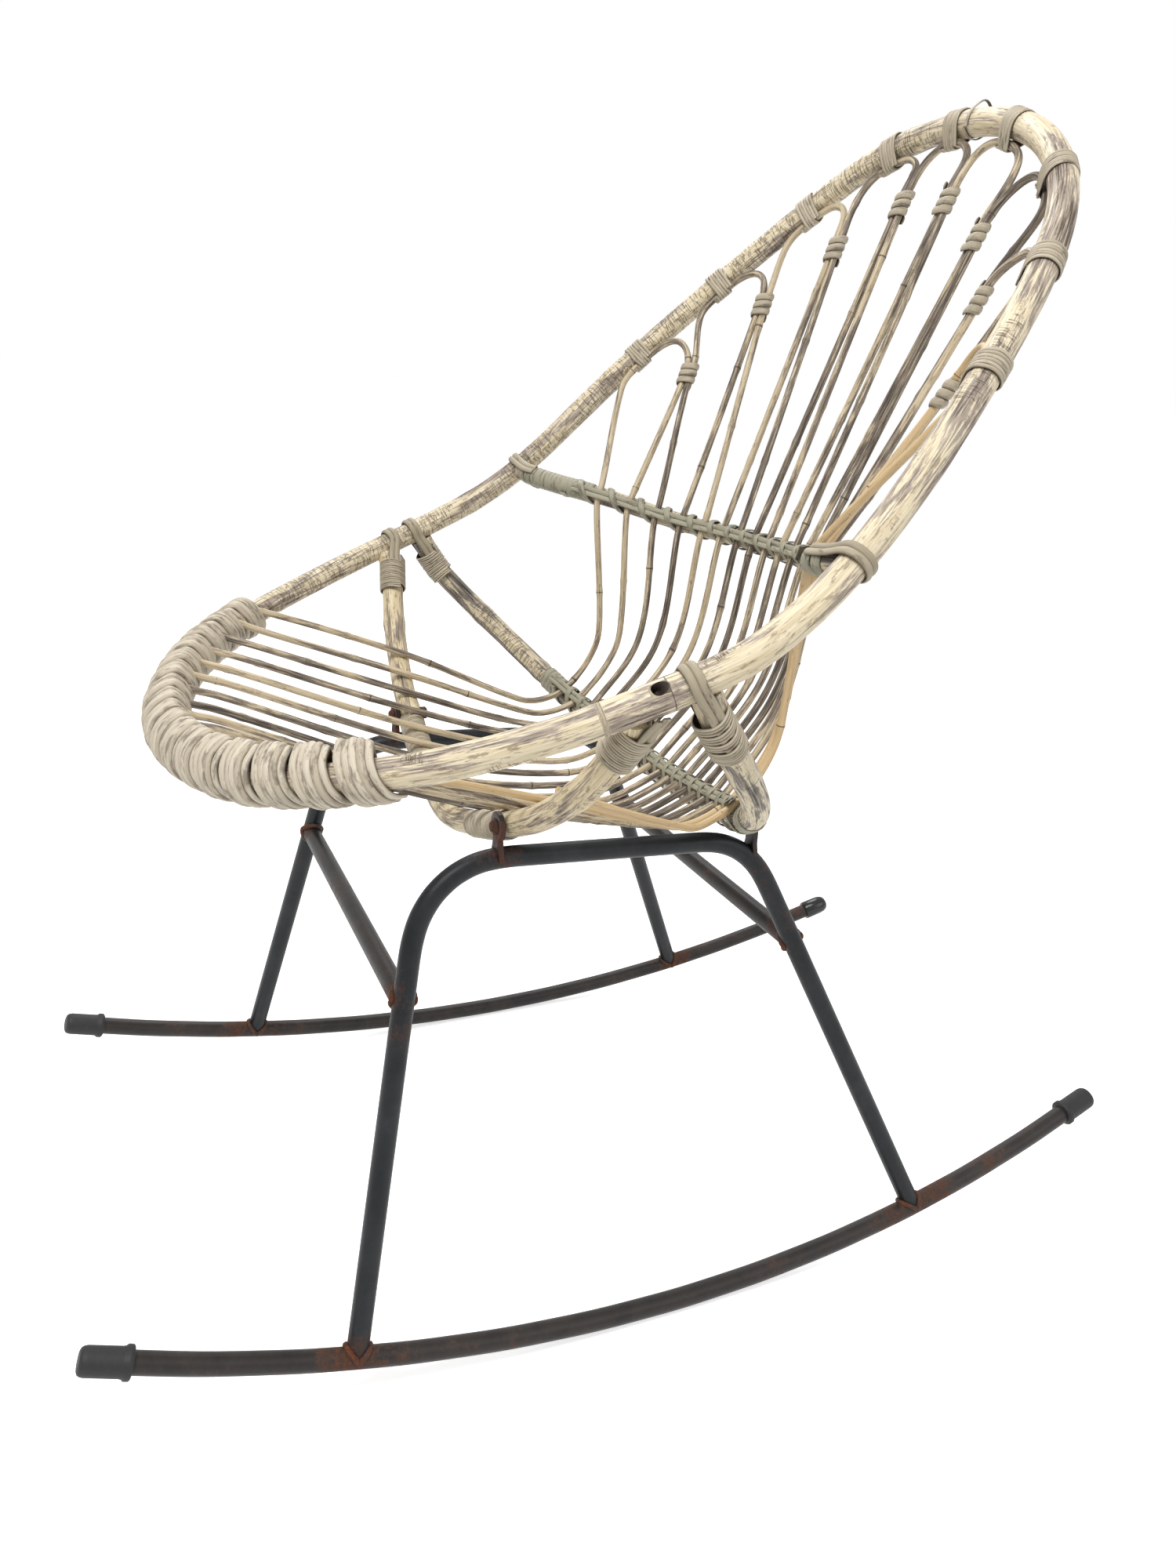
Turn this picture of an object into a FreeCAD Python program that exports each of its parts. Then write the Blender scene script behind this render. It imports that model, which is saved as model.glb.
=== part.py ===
import FreeCAD, Part
import bisect
import math
import os
import Sketcher
from FreeCAD import Placement, Rotation, Vector

# A cane bucket rocking chair: a rattan shell of bent poles and nine hairpin cane loops,
# bolted to a low rocker base of bent steel tube.
# Millimetres. +Z is up, the chair faces -Y and the sitter's left is +X.
# The origin is on the floor, under the point where the rockers touch it at rest.

doc = FreeCAD.newDocument("hoop_back_rocking_chair")

# Driving dimensions, one cell each
SIZES = {
    # Clearances
    "seat_gap": 0.3,
    "cut_overrun": 2,
    # Steel tube of the base
    "tube_dia": 16,
    "tube_wall": 1.5,
    # Rockers
    "rocker_radius": 1240,
    "rocker_front_reach": 431,
    "rocker_rear_reach": 431,
    "rocker_half_spread": 238,
    "frame_lean_angle": 14.9,
    # Leg hoops
    "front_foot_reach": 260,
    "rear_foot_reach": 231,
    "front_corner_reach": 184,
    "rear_corner_reach": 80,
    "front_corner_height": 377,
    "rear_corner_height": 364,
    "front_bend_radius": 70,
    "rear_bend_radius": 60,
    # Cross tubes
    "front_cross_height": 279,
    "rear_cross_height": 275,
    # Weld beads
    "bead_width": 3.5,
    "bead_height": 5,
    # Bracket tabs
    "tab_thickness": 4,
    "tab_head_dia": 22,
    "tab_neck_width": 12,
    "tab_foot_width": 20,
    "tab_flare_height": 7,
    # Front bolts and nuts, rear screws
    "bolt_dia": 6,
    "bolt_head_dia": 13,
    "bolt_head_height": 4,
    "bolt_tail": 2,
    "bolt_hole_clearance": 0.2,
    "nut_width": 10,
    "nut_height": 5,
    "rear_screw_dia": 5,
    "rear_screw_length": 16,
    "rear_screw_head_dia": 11,
    "rear_screw_head_height": 3.5,
    # Rocker tip caps
    "cap_dia": 20,
    "cap_lip_dia": 23,
    "cap_lip_length": 5,
    "cap_length": 34,
    "cap_end_wall": 6,
    "cap_edge": 2.5,
    "glossy_cap_dia": 21,
    "glossy_cap_length": 30,
    "glossy_cap_end_wall": 8,
    "glossy_cap_edge": 5,
    # Rim pole
    "rim_dia": 21,
    "rim_half_width": 304,
    "rim_front_reach": 337,
    "rim_back_reach": 309,
    "rim_front_height": 439,
    "rim_top_height": 905,
    "rim_joint_gap": 0.4,
    # Seat hoops
    "hoop_dia": 20,
    "front_hoop_tie_reach": 90,
    "front_hoop_low_reach": 123,
    "front_hoop_low_height": 353,
    "rear_hoop_tie_reach": 68,
    "rear_hoop_low_reach": 83,
    "rear_hoop_low_height": 363,
    # Back bar
    "bar_dia": 16,
    "bar_tie_reach": 43,
    "bar_back_reach": 182,
    "bar_low_height": 562,
    # Cane loops
    "cane_dia": 6,
    "front_cane_pitch": 30.7,
    "front_hoop_cane_pitch": 23.8,
    "seat_dip_cane_pitch": 20.7,
    "seat_dip_reach": 10,
    "seat_dip_height": 349,
    "seat_dip_side_rise": 40,
    "rear_hoop_cane_pitch": 20.5,
    "low_back_cane_pitch": 19.7,
    "low_back_reach": 144,
    "low_back_side_draw": 59,
    "low_back_height": 457,
    "bar_cane_pitch": 22.5,
    "tail_length": 24,
    "shoulder_length": 24,
    # Peel bindings
    "peel_thickness": 1.3,
    "front_binding_width": 21,
    "tie_width": 4.6,
    "tie_pitch": 5.8,
    "pair_peel_width": 6,
    "pair_pitch": 7,
    "lacing_width": 6,
    "leader_width": 9,
    "wrap_width": 4.8,
    "wrap_pitch": 6.2,
    # Straps over the rim
    "strap_width": 10,
    "strap_thickness": 2.5,
    "strap_tail": 44,
    "wrap_start": 23,
    # Screw in the left arm
    "arm_screw_dia": 4,
    "arm_screw_length": 34,
    "arm_screw_head_dia": 7.5,
    "arm_screw_head_height": 2.6,
    "counterbore_dia": 9,
    "counterbore_depth": 7,
    # Loose curl of peel on the rim's top
    "curl_width": 3.4,
    "curl_rise": 9,
    "curl_radius": 7,
    "curl_distance": 23.2,
}

# How finely the bent pieces are faceted: corners round a section, and sections along a piece
TUBE_CORNERS = 10
BORE_CORNERS = 6
BEAD_CORNERS = 6
SEAT_CORNERS = 8
CAP_CORNERS = 14
TAB_CORNERS = 16
SCREW_CORNERS = 10
ROCKER_SECTIONS = 13
BEND_SECTIONS = 6
RIM_CORNERS = 12
RIM_SECTIONS = 52
HOOP_CORNERS = 10
FRONT_HOOP_SECTIONS = 25
REAR_HOOP_END_SPANS = 5
BAR_END_SPANS = 3
CANE_CORNERS = 6
# A cane gets more sections where it turns by more than this many degrees between two of its points
CANE_TURN_STEP = 34

# A direction that none of the pieces lies along
ANY_SIDE = Vector(1, 2, 10)

sheet = doc.addObject("Spreadsheet::Sheet", "Sizes")
for row, (alias, value) in enumerate(SIZES.items(), start=1):
    sheet.set("A%d" % row, alias)
    sheet.set("B%d" % row, str(value))
    sheet.setAlias("B%d" % row, alias)
doc.recompute()

made = []


def size(alias):
    return float(sheet.get(alias))


def radius(alias):
    return size(alias) / 2


def solid_node(label, shape):
    """A sub-part whose shape is worked out from the sheet."""
    node = doc.addObject("Part::Feature", label)
    node.Label = label
    node.Shape = shape
    node.Placement = Placement()
    made.append(node)
    return node


# Geometry shared by the bent pieces

def unit(vector):
    return Vector(vector).normalize()


def square_to(vector, direction):
    """The part of vector at right angles to a unit direction, as a unit vector."""
    return unit(vector - direction * vector.dot(direction))


def mirrored(point):
    return Vector(-point.x, point.y, point.z)


def on_side(side, point):
    return point if side > 0 else mirrored(point)


def both_sides(point):
    return point, mirrored(point)


def flat_face(corners):
    return Part.Face(Part.makePolygon(corners + corners[:1]))


def side_faces(corners):
    """One face over four corners, or two where they don't lie in a plane."""
    normal = (corners[1] - corners[0]).cross(corners[3] - corners[0])
    rise = abs(normal.dot(corners[2] - corners[0])) / normal.Length
    if rise < size("cane_dia") / 10 ** 7:
        return [flat_face(corners)]
    return [flat_face(corners[:3]), flat_face([corners[0], corners[2], corners[3]])]


def solid_through(sections):
    """A closed solid through sections of equally many corners."""
    faces = [flat_face(sections[0]), flat_face(sections[-1])]
    for near, far in zip(sections, sections[1:]):
        for index in range(len(near)):
            after = (index + 1) % len(near)
            faces += side_faces([near[index], near[after], far[after], far[index]])
    solid = Part.makeSolid(Part.makeShell(faces))
    if solid.Volume < 0:
        solid.reverse()
    return solid


def directions_along(points):
    """The direction of a bent line at each of its points."""
    steps = [unit(after - before) for before, after in zip(points, points[1:])]
    inner = [unit(before + after) for before, after in zip(steps, steps[1:])]
    return [steps[0]] + inner + [steps[-1]]


def round_section(centre, direction, side, section_radius, corners):
    """The corners of a regular section round centre, square to direction."""
    across = direction.cross(side)
    spots = []
    for corner in range(corners):
        turn = 2 * math.pi * corner / corners
        spots.append(centre + (side * math.cos(turn) + across * math.sin(turn)) * section_radius)
    return spots


def tube_solid(points, tube_radius, corners, first_side):
    """A solid of one round section along the points, carried on without twist."""
    sections = []
    side = first_side
    for centre, direction in zip(points, directions_along(points)):
        side = square_to(side, direction)
        sections.append(round_section(centre, direction, side, tube_radius, corners))
    return solid_through(sections)


def turned_solid(profile, corners):
    """A solid of round sections up the Z axis, from (height, radius) pairs."""
    upwards = Vector(0, 0, 1)
    sideways = Vector(1, 0, 0)
    return solid_through([
        round_section(upwards * height, upwards, sideways, section_radius, corners)
        for height, section_radius in profile
    ])


def bore_cutter(start, direction, length, bore_radius, corners=SEAT_CORNERS):
    """A many-sided cutter whose flats, not its corners, lie at the radius."""
    side = square_to(ANY_SIDE, direction)
    corner_radius = bore_radius / math.cos(math.pi / corners)
    return solid_through([
        round_section(start, direction, side, corner_radius, corners),
        round_section(start + direction * length, direction, side, corner_radius, corners),
    ])


class Route:
    """A smooth curve through points, read by the distance along it."""

    def __init__(self, points, closed=False):
        self.curve = Part.BSplineCurve()
        self.curve.interpolate(Points=points, PeriodicFlag=closed)
        self.closed = closed
        self.length = self.curve.length()
        self.stations = []
        self.corners = []

    def parameter(self, distance):
        if self.closed:
            distance = distance % self.length
        return self.curve.parameterAtDistance(distance, self.curve.FirstParameter)

    def settle(self, stations):
        """Makes the route the bent line through these distances, as the pole on it is faceted."""
        self.corners = [self.curve.value(self.parameter(distance)) for distance in stations]
        self.stations = list(stations)

    def point(self, distance):
        if not self.stations:
            return self.curve.value(self.parameter(distance))
        if self.closed:
            distance = distance % self.length
        after = min(max(bisect.bisect(self.stations, distance), 1), len(self.stations) - 1)
        first, last = self.stations[after - 1:after + 1]
        share = (min(max(distance, first), last) - first) / (last - first)
        return self.corners[after - 1] * (1 - share) + self.corners[after] * share

    def direction(self, distance):
        return unit(self.curve.tangent(self.parameter(distance))[0])

    def points_with_more_at_bends(self, turn_step, least_span):
        """The curve's own points, with more between them where a long span turns."""
        points = []
        marks = self.curve.getKnots()
        for first, last in zip(marks, marks[1:]):
            turn = self.curve.tangent(first)[0].getAngle(self.curve.tangent(last)[0])
            count = 1
            if (self.curve.value(last) - self.curve.value(first)).Length > least_span:
                count += int(turn / turn_step)
            for index in range(count):
                points.append(self.curve.value(first + (last - first) * index / count))
        points.append(self.curve.value(marks[-1]))
        return points

    def distance_where(self, reading, target, low, high):
        """Where a steadily rising or falling reading of the point meets target."""
        rising = reading(self.point(high)) > reading(self.point(low))
        for _ in range(40):
            middle = (low + high) / 2
            if (reading(self.point(middle)) < target) == rising:
                low = middle
            else:
                high = middle
        return (low + high) / 2


def evenly(start, end, spans):
    return [start + (end - start) * index / spans for index in range(spans + 1)]


def read_x(point):
    return point.x


def read_y(point):
    return point.y


# Windings of flat peel: each is one unbroken strip whose flats lie on the hull of the round
# sections inside it, so that a turn touches the pole and the canes as drawn-tight peel does

least_gaps = {}


def flat_reach(circles, turn):
    """How far the hull of circles (across, up, radius) reaches towards turn."""
    return max(across * math.cos(turn) + up * math.sin(turn) + reach for across, up, reach in circles)


def fold_spot(circles, turn, next_turn, stand_off):
    """Where two neighbouring flats of the strip meet, in the plane of the section."""
    near = flat_reach(circles, turn) + stand_off
    far = flat_reach(circles, next_turn) + stand_off
    bend = math.sin(next_turn - turn)
    across = (near * math.sin(next_turn) - far * math.sin(turn)) / bend
    up = (far * math.cos(turn) - near * math.cos(next_turn)) / bend
    return across, up


def wound_strip(frame_at, circles_at, start, pitch, turns, width, flat_turns, spin=1):
    """A strip wound round a route, and its least gap to itself.

    frame_at gives a point, the direction along and two directions across for a distance.
    flat_turns are the directions, in degrees, that the flats of one turn face.
    """
    flats = len(flat_turns)
    thickness = size("peel_thickness")
    sections = []
    edges = []
    for step in range(turns * flats + 1):
        whole, index = divmod(step, flats)
        turn = flat_turns[index]
        next_turn = flat_turns[(index + 1) % flats]
        if next_turn < turn:
            next_turn += 360
        share = whole + ((turn + next_turn) / 2 - flat_turns[0]) / 360
        centre, along, across, up = frame_at(start + pitch * share)
        circles = circles_at(start + pitch * share)
        up = up * spin
        circles = [(circle[0], circle[1] * spin, circle[2]) for circle in circles]
        spots = []
        for stand_off in (0, thickness):
            spot = fold_spot(circles, math.radians(turn), math.radians(next_turn), stand_off)
            spots.append(centre + across * spot[0] + up * spot[1])
        half = along * (width / 2)
        sections.append([spots[0] - half, spots[0] + half, spots[1] + half, spots[1] - half])
        edges.append((spots[0] - half, spots[0] + half))
    gaps = [(later[0] - earlier[1]).Length for earlier, later in zip(edges, edges[flats:])]
    return solid_through(sections), min(gaps)


def evenly_turned(first, flats):
    return [first + 360 * index / flats for index in range(flats)]


def winding_node(label, shape_and_gap):
    shape, gap = shape_and_gap
    least_gaps[label] = gap
    return solid_node(label, shape)


# Steel base: each side frame lies in a plane of its own that leans inwards.
# A place in it is the reach along Y and the height up the plane from the rocker's axis.

tube_radius = radius("tube_dia")
bore_radius = tube_radius - size("tube_wall")
lean = math.radians(size("frame_lean_angle"))
SIDES = (("right", -1), ("left", 1))


def frame_place(side, place):
    reach, height = place
    inwards = size("rocker_half_spread") - height * math.sin(lean)
    return Vector(side * inwards, reach, tube_radius + height * math.cos(lean))


def on_rocker(reach):
    bend = size("rocker_radius")
    return reach, bend - math.sqrt(bend ** 2 - reach ** 2)


def rocker_places():
    first = -math.asin(size("rocker_front_reach") / size("rocker_radius"))
    last = math.asin(size("rocker_rear_reach") / size("rocker_radius"))
    places = []
    for index in range(ROCKER_SECTIONS):
        turn = first + (last - first) * index / (ROCKER_SECTIONS - 1)
        places.append(on_rocker(size("rocker_radius") * math.sin(turn)))
    return places


def bent_corner(before, corner, after, bend_radius):
    """Places round a corner bent to a radius, in the plane of a side frame."""
    middle = Vector(corner[0], corner[1], 0)
    to_before = unit(Vector(before[0], before[1], 0) - middle)
    to_after = unit(Vector(after[0], after[1], 0) - middle)
    half_opening = to_before.getAngle(to_after) / 2
    centre = middle + unit(to_before + to_after) * (bend_radius / math.sin(half_opening))
    tangent_length = bend_radius / math.tan(half_opening)
    first = middle + to_before * tangent_length - centre
    last = middle + to_after * tangent_length - centre
    whole = first.getAngle(last)
    places = []
    for index in range(BEND_SECTIONS):
        turn = whole * index / (BEND_SECTIONS - 1)
        arm = first * (math.sin(whole - turn) / math.sin(whole)) + last * (math.sin(turn) / math.sin(whole))
        places.append((centre.x + arm.x, centre.y + arm.y))
    return places


front_foot = on_rocker(-size("front_foot_reach"))
rear_foot = on_rocker(size("rear_foot_reach"))
front_corner = (-size("front_corner_reach"), size("front_corner_height"))
rear_corner = (size("rear_corner_reach"), size("rear_corner_height"))
front_bend = bent_corner(front_foot, front_corner, rear_corner, size("front_bend_radius"))
rear_bend = bent_corner(front_corner, rear_corner, rear_foot, size("rear_bend_radius"))
leg_places = [front_foot] + front_bend + rear_bend + [rear_foot]


def frame_tube(side, places, section_radius, corners):
    points = [frame_place(side, place) for place in places]
    plane_normal = Vector(side * math.cos(lean), 0, math.sin(lean))
    return tube_solid(points, section_radius, corners, plane_normal)


rockers = {}
legs = {}


def build_side_frames():
    """On each side a rocker, and a leg hoop whose feet are notched to sit on it."""
    for name, side in SIDES:
        rockers[side] = frame_tube(side, rocker_places(), tube_radius, TUBE_CORNERS)
        legs[side] = frame_tube(side, leg_places, tube_radius, TUBE_CORNERS)
        rocker_bore = frame_tube(side, rocker_places(), bore_radius, BORE_CORNERS)
        leg_bore = frame_tube(side, leg_places, bore_radius, BORE_CORNERS)
        solid_node(name + "_rocker", rockers[side].cut(rocker_bore))
        solid_node(name + "_leg_hoop", legs[side].cut(leg_bore).cut(rockers[side]))


def build_cross_tube(name, foot, corner, height):
    """A tube between two legs, notched at both ends to sit on them."""
    share = (height - foot[1]) / (corner[1] - foot[1])
    end = frame_place(1, (foot[0] + (corner[0] - foot[0]) * share, height))
    outside = doc.addObject("Part::Prism", name + "_outside")
    outside.Polygon = TUBE_CORNERS
    outside.setExpression("Circumradius", "Sizes.tube_dia / 2")
    outside.Height = 2 * end.x
    bore = doc.addObject("Part::Prism", name + "_bore")
    bore.Polygon = BORE_CORNERS
    bore.setExpression("Circumradius", "Sizes.tube_dia / 2 - Sizes.tube_wall")
    bore.Height = 2 * end.x
    lie_across = Placement(mirrored(end), Rotation(Vector(0, 1, 0), 90))
    outside.Placement = lie_across
    bore.Placement = lie_across
    pipe = doc.addObject("Part::Cut", name + "_pipe")
    pipe.Base = outside
    pipe.Tool = bore
    doc.recompute()
    notched = pipe.Shape.cut(legs[1]).cut(legs[-1])
    solid_node(name, largest_solid(notched))
    return end


def largest_solid(shape):
    return max(shape.Solids, key=lambda solid: solid.Volume)


def weld_bead(centre, direction, seat_start, seat_end):
    """A bead round a tube's end: a short taper with room for the tube and the tube it stands on."""
    clear_radius = tube_radius + size("seat_gap")
    foot_radius = clear_radius / math.cos(math.pi / BEAD_CORNERS) + size("bead_width")
    length = tube_radius + size("bead_height")
    bead = solid_through([
        round_section(centre, direction, square_to(ANY_SIDE, direction), foot_radius, BEAD_CORNERS),
        round_section(
            centre + direction * length, direction, square_to(ANY_SIDE, direction),
            foot_radius - size("bead_width") * BEAD_TAPER_SHARE, BEAD_CORNERS,
        ),
    ])
    bead = bead.cut(bore_cutter(centre - direction * length, direction, 3 * length, clear_radius, BEAD_CORNERS))
    seat_direction = unit(seat_end - seat_start)
    seat_length = (seat_end - seat_start).Length
    bead = bead.cut(bore_cutter(seat_start, seat_direction, seat_length, clear_radius, SEAT_CORNERS))
    return max(bead.Solids, key=lambda solid: solid.CenterOfMass.dot(direction))


# How much of its width a bead loses by its top
BEAD_TAPER_SHARE = 0.85


def rocker_span(reach):
    """The two sections of a rocker that a foot at some reach stands between."""
    places = rocker_places()
    before = max(index for index in range(len(places) - 1) if places[index][0] <= reach)
    return places[before], places[before + 1]


def build_weld_beads(cross_tubes):
    feet = []
    crossings = []
    for side in (1, -1):
        for foot, corner in ((front_foot, front_corner), (rear_foot, rear_corner)):
            start = frame_place(side, foot)
            direction = unit(frame_place(side, corner) - start)
            seat_start, seat_end = [frame_place(side, place) for place in rocker_span(foot[0])]
            feet.append(weld_bead(start, direction, seat_start, seat_end))
        for end, run in zip(cross_tubes, (leg_places[:2], leg_places[:-3:-1])):
            seat_start, seat_end = [frame_place(side, place) for place in run]
            crossings.append(weld_bead(on_side(side, end), Vector(-side, 0, 0), seat_start, seat_end))
    solid_node("leg_weld_beads", Part.makeCompound(feet))
    solid_node("cross_tube_weld_beads", Part.makeCompound(crossings))


# Small hardware, made once and placed several times

def group_node(label, shape, placements):
    """Copies of one shape at several places, as one node of separate solids."""
    copies = []
    for placement in placements:
        copy = shape.copy()
        copy.Placement = placement.multiply(copy.Placement)
        copies.append(copy)
    return solid_node(label, Part.makeCompound(copies))


def aim(point, direction):
    """A placement that carries the Z axis to a direction at a point."""
    return Placement(point, Rotation(Vector(0, 0, 1), direction))


def tip_placement(side, end):
    """The place of a cap on a rocker's tip, looking outwards along the tube."""
    places = rocker_places()
    tip, inner = (places[0], places[1]) if end < 0 else (places[-1], places[-2])
    point = frame_place(side, tip)
    outwards = unit(point - frame_place(side, inner))
    return aim(point + outwards * size("seat_gap"), outwards)


DOME_SHOULDER_SHARE = 0.3


def build_tip_caps():
    """Rubber caps pushed over the rocker tips, three with a flared lip and one domed one."""
    upwards = Vector(0, 0, 1)
    mouth_radius = tube_radius + size("seat_gap")
    mouth = size("cap_end_wall") - size("cap_length")
    matte = turned_solid((
        (mouth, radius("cap_lip_dia")),
        (mouth + size("cap_lip_length"), radius("cap_dia")),
        (size("cap_end_wall") - size("cap_edge"), radius("cap_dia")),
        (size("cap_end_wall"), radius("cap_dia") - size("cap_edge")),
    ), CAP_CORNERS)
    matte = matte.cut(bore_cutter(upwards * mouth * 2, upwards, -mouth * 2, mouth_radius, CAP_CORNERS))
    group_node("matte_tip_caps", matte, [tip_placement(1, -1), tip_placement(1, 1), tip_placement(-1, -1)])
    mouth = size("glossy_cap_end_wall") - size("glossy_cap_length")
    dome = size("glossy_cap_edge")
    shoulder = dome * DOME_SHOULDER_SHARE
    glossy = turned_solid((
        (mouth, radius("glossy_cap_dia")),
        (size("glossy_cap_end_wall") - dome, radius("glossy_cap_dia")),
        (size("glossy_cap_end_wall") - shoulder, radius("glossy_cap_dia") - shoulder),
        (size("glossy_cap_end_wall"), radius("glossy_cap_dia") - dome),
    ), CAP_CORNERS)
    glossy = glossy.cut(bore_cutter(upwards * mouth * 2, upwards, -mouth * 2, mouth_radius, CAP_CORNERS))
    group_node("glossy_tip_cap", glossy, [tip_placement(-1, 1)])


# Rattan shell: the rim, and the hoops and the bar that end on it

rim_radius = radius("rim_dia")
hoop_radius = radius("hoop_dia")
bar_radius = radius("bar_dia")
cane_radius = radius("cane_dia")
gap = size("seat_gap")

# The left half of the rim from the front middle to the top middle, as shares of its half width,
# of its depth from front to back and of its rise from front to top
RIM_SHARES = (
    (0, 0, 0),
    (0.30, 0.018, 0.012),
    (0.54, 0.060, 0.033),
    (0.70, 0.118, 0.060),
    (0.877, 0.238, 0.116),
    (0.96, 0.346, 0.172),
    (1, 0.447, 0.229),
    (0.975, 0.545, 0.306),
    (0.90, 0.688, 0.493),
    (0.814, 0.785, 0.635),
    (0.672, 0.890, 0.788),
    (0.522, 0.949, 0.886),
    (0.306, 0.987, 0.967),
    (0, 1, 1),
)
WIDEST_RIM_CORNER = 6


def rim_corner(shares):
    across, back, up = shares
    depth = size("rim_front_reach") + size("rim_back_reach")
    rise = size("rim_top_height") - size("rim_front_height")
    return Vector(
        size("rim_half_width") * across,
        depth * back - size("rim_front_reach"),
        size("rim_front_height") + rise * up,
    )


left_rim = [rim_corner(shares) for shares in RIM_SHARES]
right_rim = [mirrored(point) for point in left_rim[-2:0:-1]]
rim = Route(left_rim + right_rim, closed=True)
rim_half = rim.length / 2
rim.settle(evenly(size("rim_joint_gap") / 2, rim.length - size("rim_joint_gap") / 2, RIM_SECTIONS - 1))


def rim_at_reach(reach):
    """The distance along the left half of the rim where it passes a place along Y."""
    return rim.distance_where(read_y, reach, 0, rim_half)


widest = rim_at_reach(left_rim[WIDEST_RIM_CORNER].y)


def rim_at_width(share):
    """The distance along the left half of the rim's back at a share of its half width."""
    return rim.distance_where(read_x, size("rim_half_width") * share, widest, rim_half)


def arch_route(end, low, shares):
    """A route from the right arm to the left one, through shares of the way from low to end."""
    left = []
    for across, forward, up in shares:
        left.append(Vector(end.x * across, low.y + (end.y - low.y) * forward, low.z + (end.z - low.z) * up))
    return Route([mirrored(point) for point in left[:0:-1]] + left)


FRONT_HOOP_SHARES = (
    (0, 0, 0),
    (0.21, 0.07, 0.072),
    (0.43, 0.20, 0.20),
    (0.65, 0.39, 0.39),
    (0.83, 0.63, 0.63),
    (0.94, 0.86, 0.86),
    (1, 1, 1),
)
REAR_HOOP_SHARES = (
    (0, 0, 0),
    (0.31, 0.06, 0.057),
    (0.545, 0.145, 0.137),
    (0.66, 0.235, 0.225),
    (0.777, 0.367, 0.354),
    (0.919, 0.62, 0.589),
    (0.995, 0.84, 0.80),
    (1, 1, 1),
)
BAR_SHARES = (
    (0, 0, 0),
    (0.27, 0.065, 0.05),
    (0.45, 0.26, 0.18),
    (0.60, 0.525, 0.45),
    (0.73, 0.80, 0.69),
    (0.87, 1, 0.86),
    (1, 1, 1),
)

front_hoop_tie = rim_at_reach(-size("front_hoop_tie_reach"))
rear_hoop_tie = rim_at_reach(-size("rear_hoop_tie_reach"))
bar_tie = rim_at_reach(size("bar_tie_reach"))
front_hoop = arch_route(
    rim.point(front_hoop_tie),
    Vector(0, -size("front_hoop_low_reach"), size("front_hoop_low_height")),
    FRONT_HOOP_SHARES,
)
rear_hoop = arch_route(
    rim.point(rear_hoop_tie),
    Vector(0, size("rear_hoop_low_reach"), size("rear_hoop_low_height")),
    REAR_HOOP_SHARES,
)
bar = arch_route(
    rim.point(bar_tie),
    Vector(0, size("bar_back_reach"), size("bar_low_height")),
    BAR_SHARES,
)

LOOPS = 9
STAKES_A_SIDE = 9
# No cane crosses a hoop nearer to its end than this share of its length
HOOP_END_SHARE = 0.12


def distance_at_width(route, width):
    return route.distance_where(read_x, width, route.length * HOOP_END_SHARE, route.length * (1 - HOOP_END_SHARE))


def stations_between_canes(route, pitch, end_spans):
    """Distances midway between the canes on a pole, and on from them to both its ends."""
    places = range(-STAKES_A_SIDE, STAKES_A_SIDE + 1)
    inner = [distance_at_width(route, pitch * place) for place in places]
    end = evenly(0, inner[0], end_spans)[:-1]
    return end + inner + [route.length - distance for distance in reversed(end)]


front_hoop.settle(evenly(0, front_hoop.length, FRONT_HOOP_SECTIONS - 1))
rear_hoop.settle(stations_between_canes(rear_hoop, size("rear_hoop_cane_pitch"), REAR_HOOP_END_SPANS))
bar.settle(stations_between_canes(bar, size("bar_cane_pitch"), BAR_END_SPANS))

# The directions of the canes where they cross the two seat hoops and the bar
OVER_FRONT_HOOP = unit(Vector(0, 0.95, -0.3))
OVER_REAR_HOOP = unit(Vector(0, 0.8, 0.6))
OVER_BAR = unit(Vector(0, 0.35, 0.94))


def crossing(route, width, cane_direction):
    """Where a cane crosses a pole: the pole's point, its direction and the way out to the cane."""
    distance = distance_at_width(route, width)
    along = route.direction(distance)
    return route.point(distance), along, unit(along.cross(cane_direction))


def cane_crossing(route, pole_radius, width, cane_direction):
    point, _, out = crossing(route, width, cane_direction)
    return point + out * (pole_radius + cane_radius + gap)


# How far a cane runs straight on each side of a leader's middle, as a share of the leader's width
STRAIGHT_RUN_SHARE = 0.62


def under_leader(crossing_point, cane_direction):
    """Two points between which a cane runs straight under a leader strip."""
    half = cane_direction * (size("leader_width") * STRAIGHT_RUN_SHARE)
    return [crossing_point - half, crossing_point + half]


def rim_frame(distance):
    """On the rim: its point, its direction, the way to the middle of the back, and across both."""
    point = rim.point(distance)
    along = rim.direction(distance)
    back_middle = Vector(
        0,
        (size("bar_back_reach") + size("rim_back_reach")) / 2,
        (size("bar_low_height") + size("rim_top_height")) / 2,
    )
    inwards = square_to(back_middle - point, along)
    return point, along, inwards, along.cross(inwards)


def front_frame(distance):
    """On the rim's front: its point, its direction, the level way into the seat, and up."""
    point = rim.point(distance)
    along = rim.direction(distance)
    inwards = square_to(Vector(-point.x, -point.y, 0), along)
    return point, along, inwards, inwards.cross(along)


# Pair bindings join the neighbouring canes of two loops. Their places are shares of the rim's
# half width, of the way from the bar back to the rim's top, and of the rise from bar to top
PAIR_SHARES = (
    (0.627, -0.05, 0.405),
    (0.493, 0.36, 0.592),
    (0.309, 0.646, 0.732),
    (0.099, 0.787, 0.825),
)
# Where the loops are tied to the rim, from the outermost to the middle one, as shares of its
# half width
TIE_SHARES = (0.84, 0.72, 0.52, 0.25, 0)


def pitches_out(stake):
    """How many cane pitches a stake lies from the middle, for stakes counted from the outermost."""
    return STAKES_A_SIDE + 0.5 - stake


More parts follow.
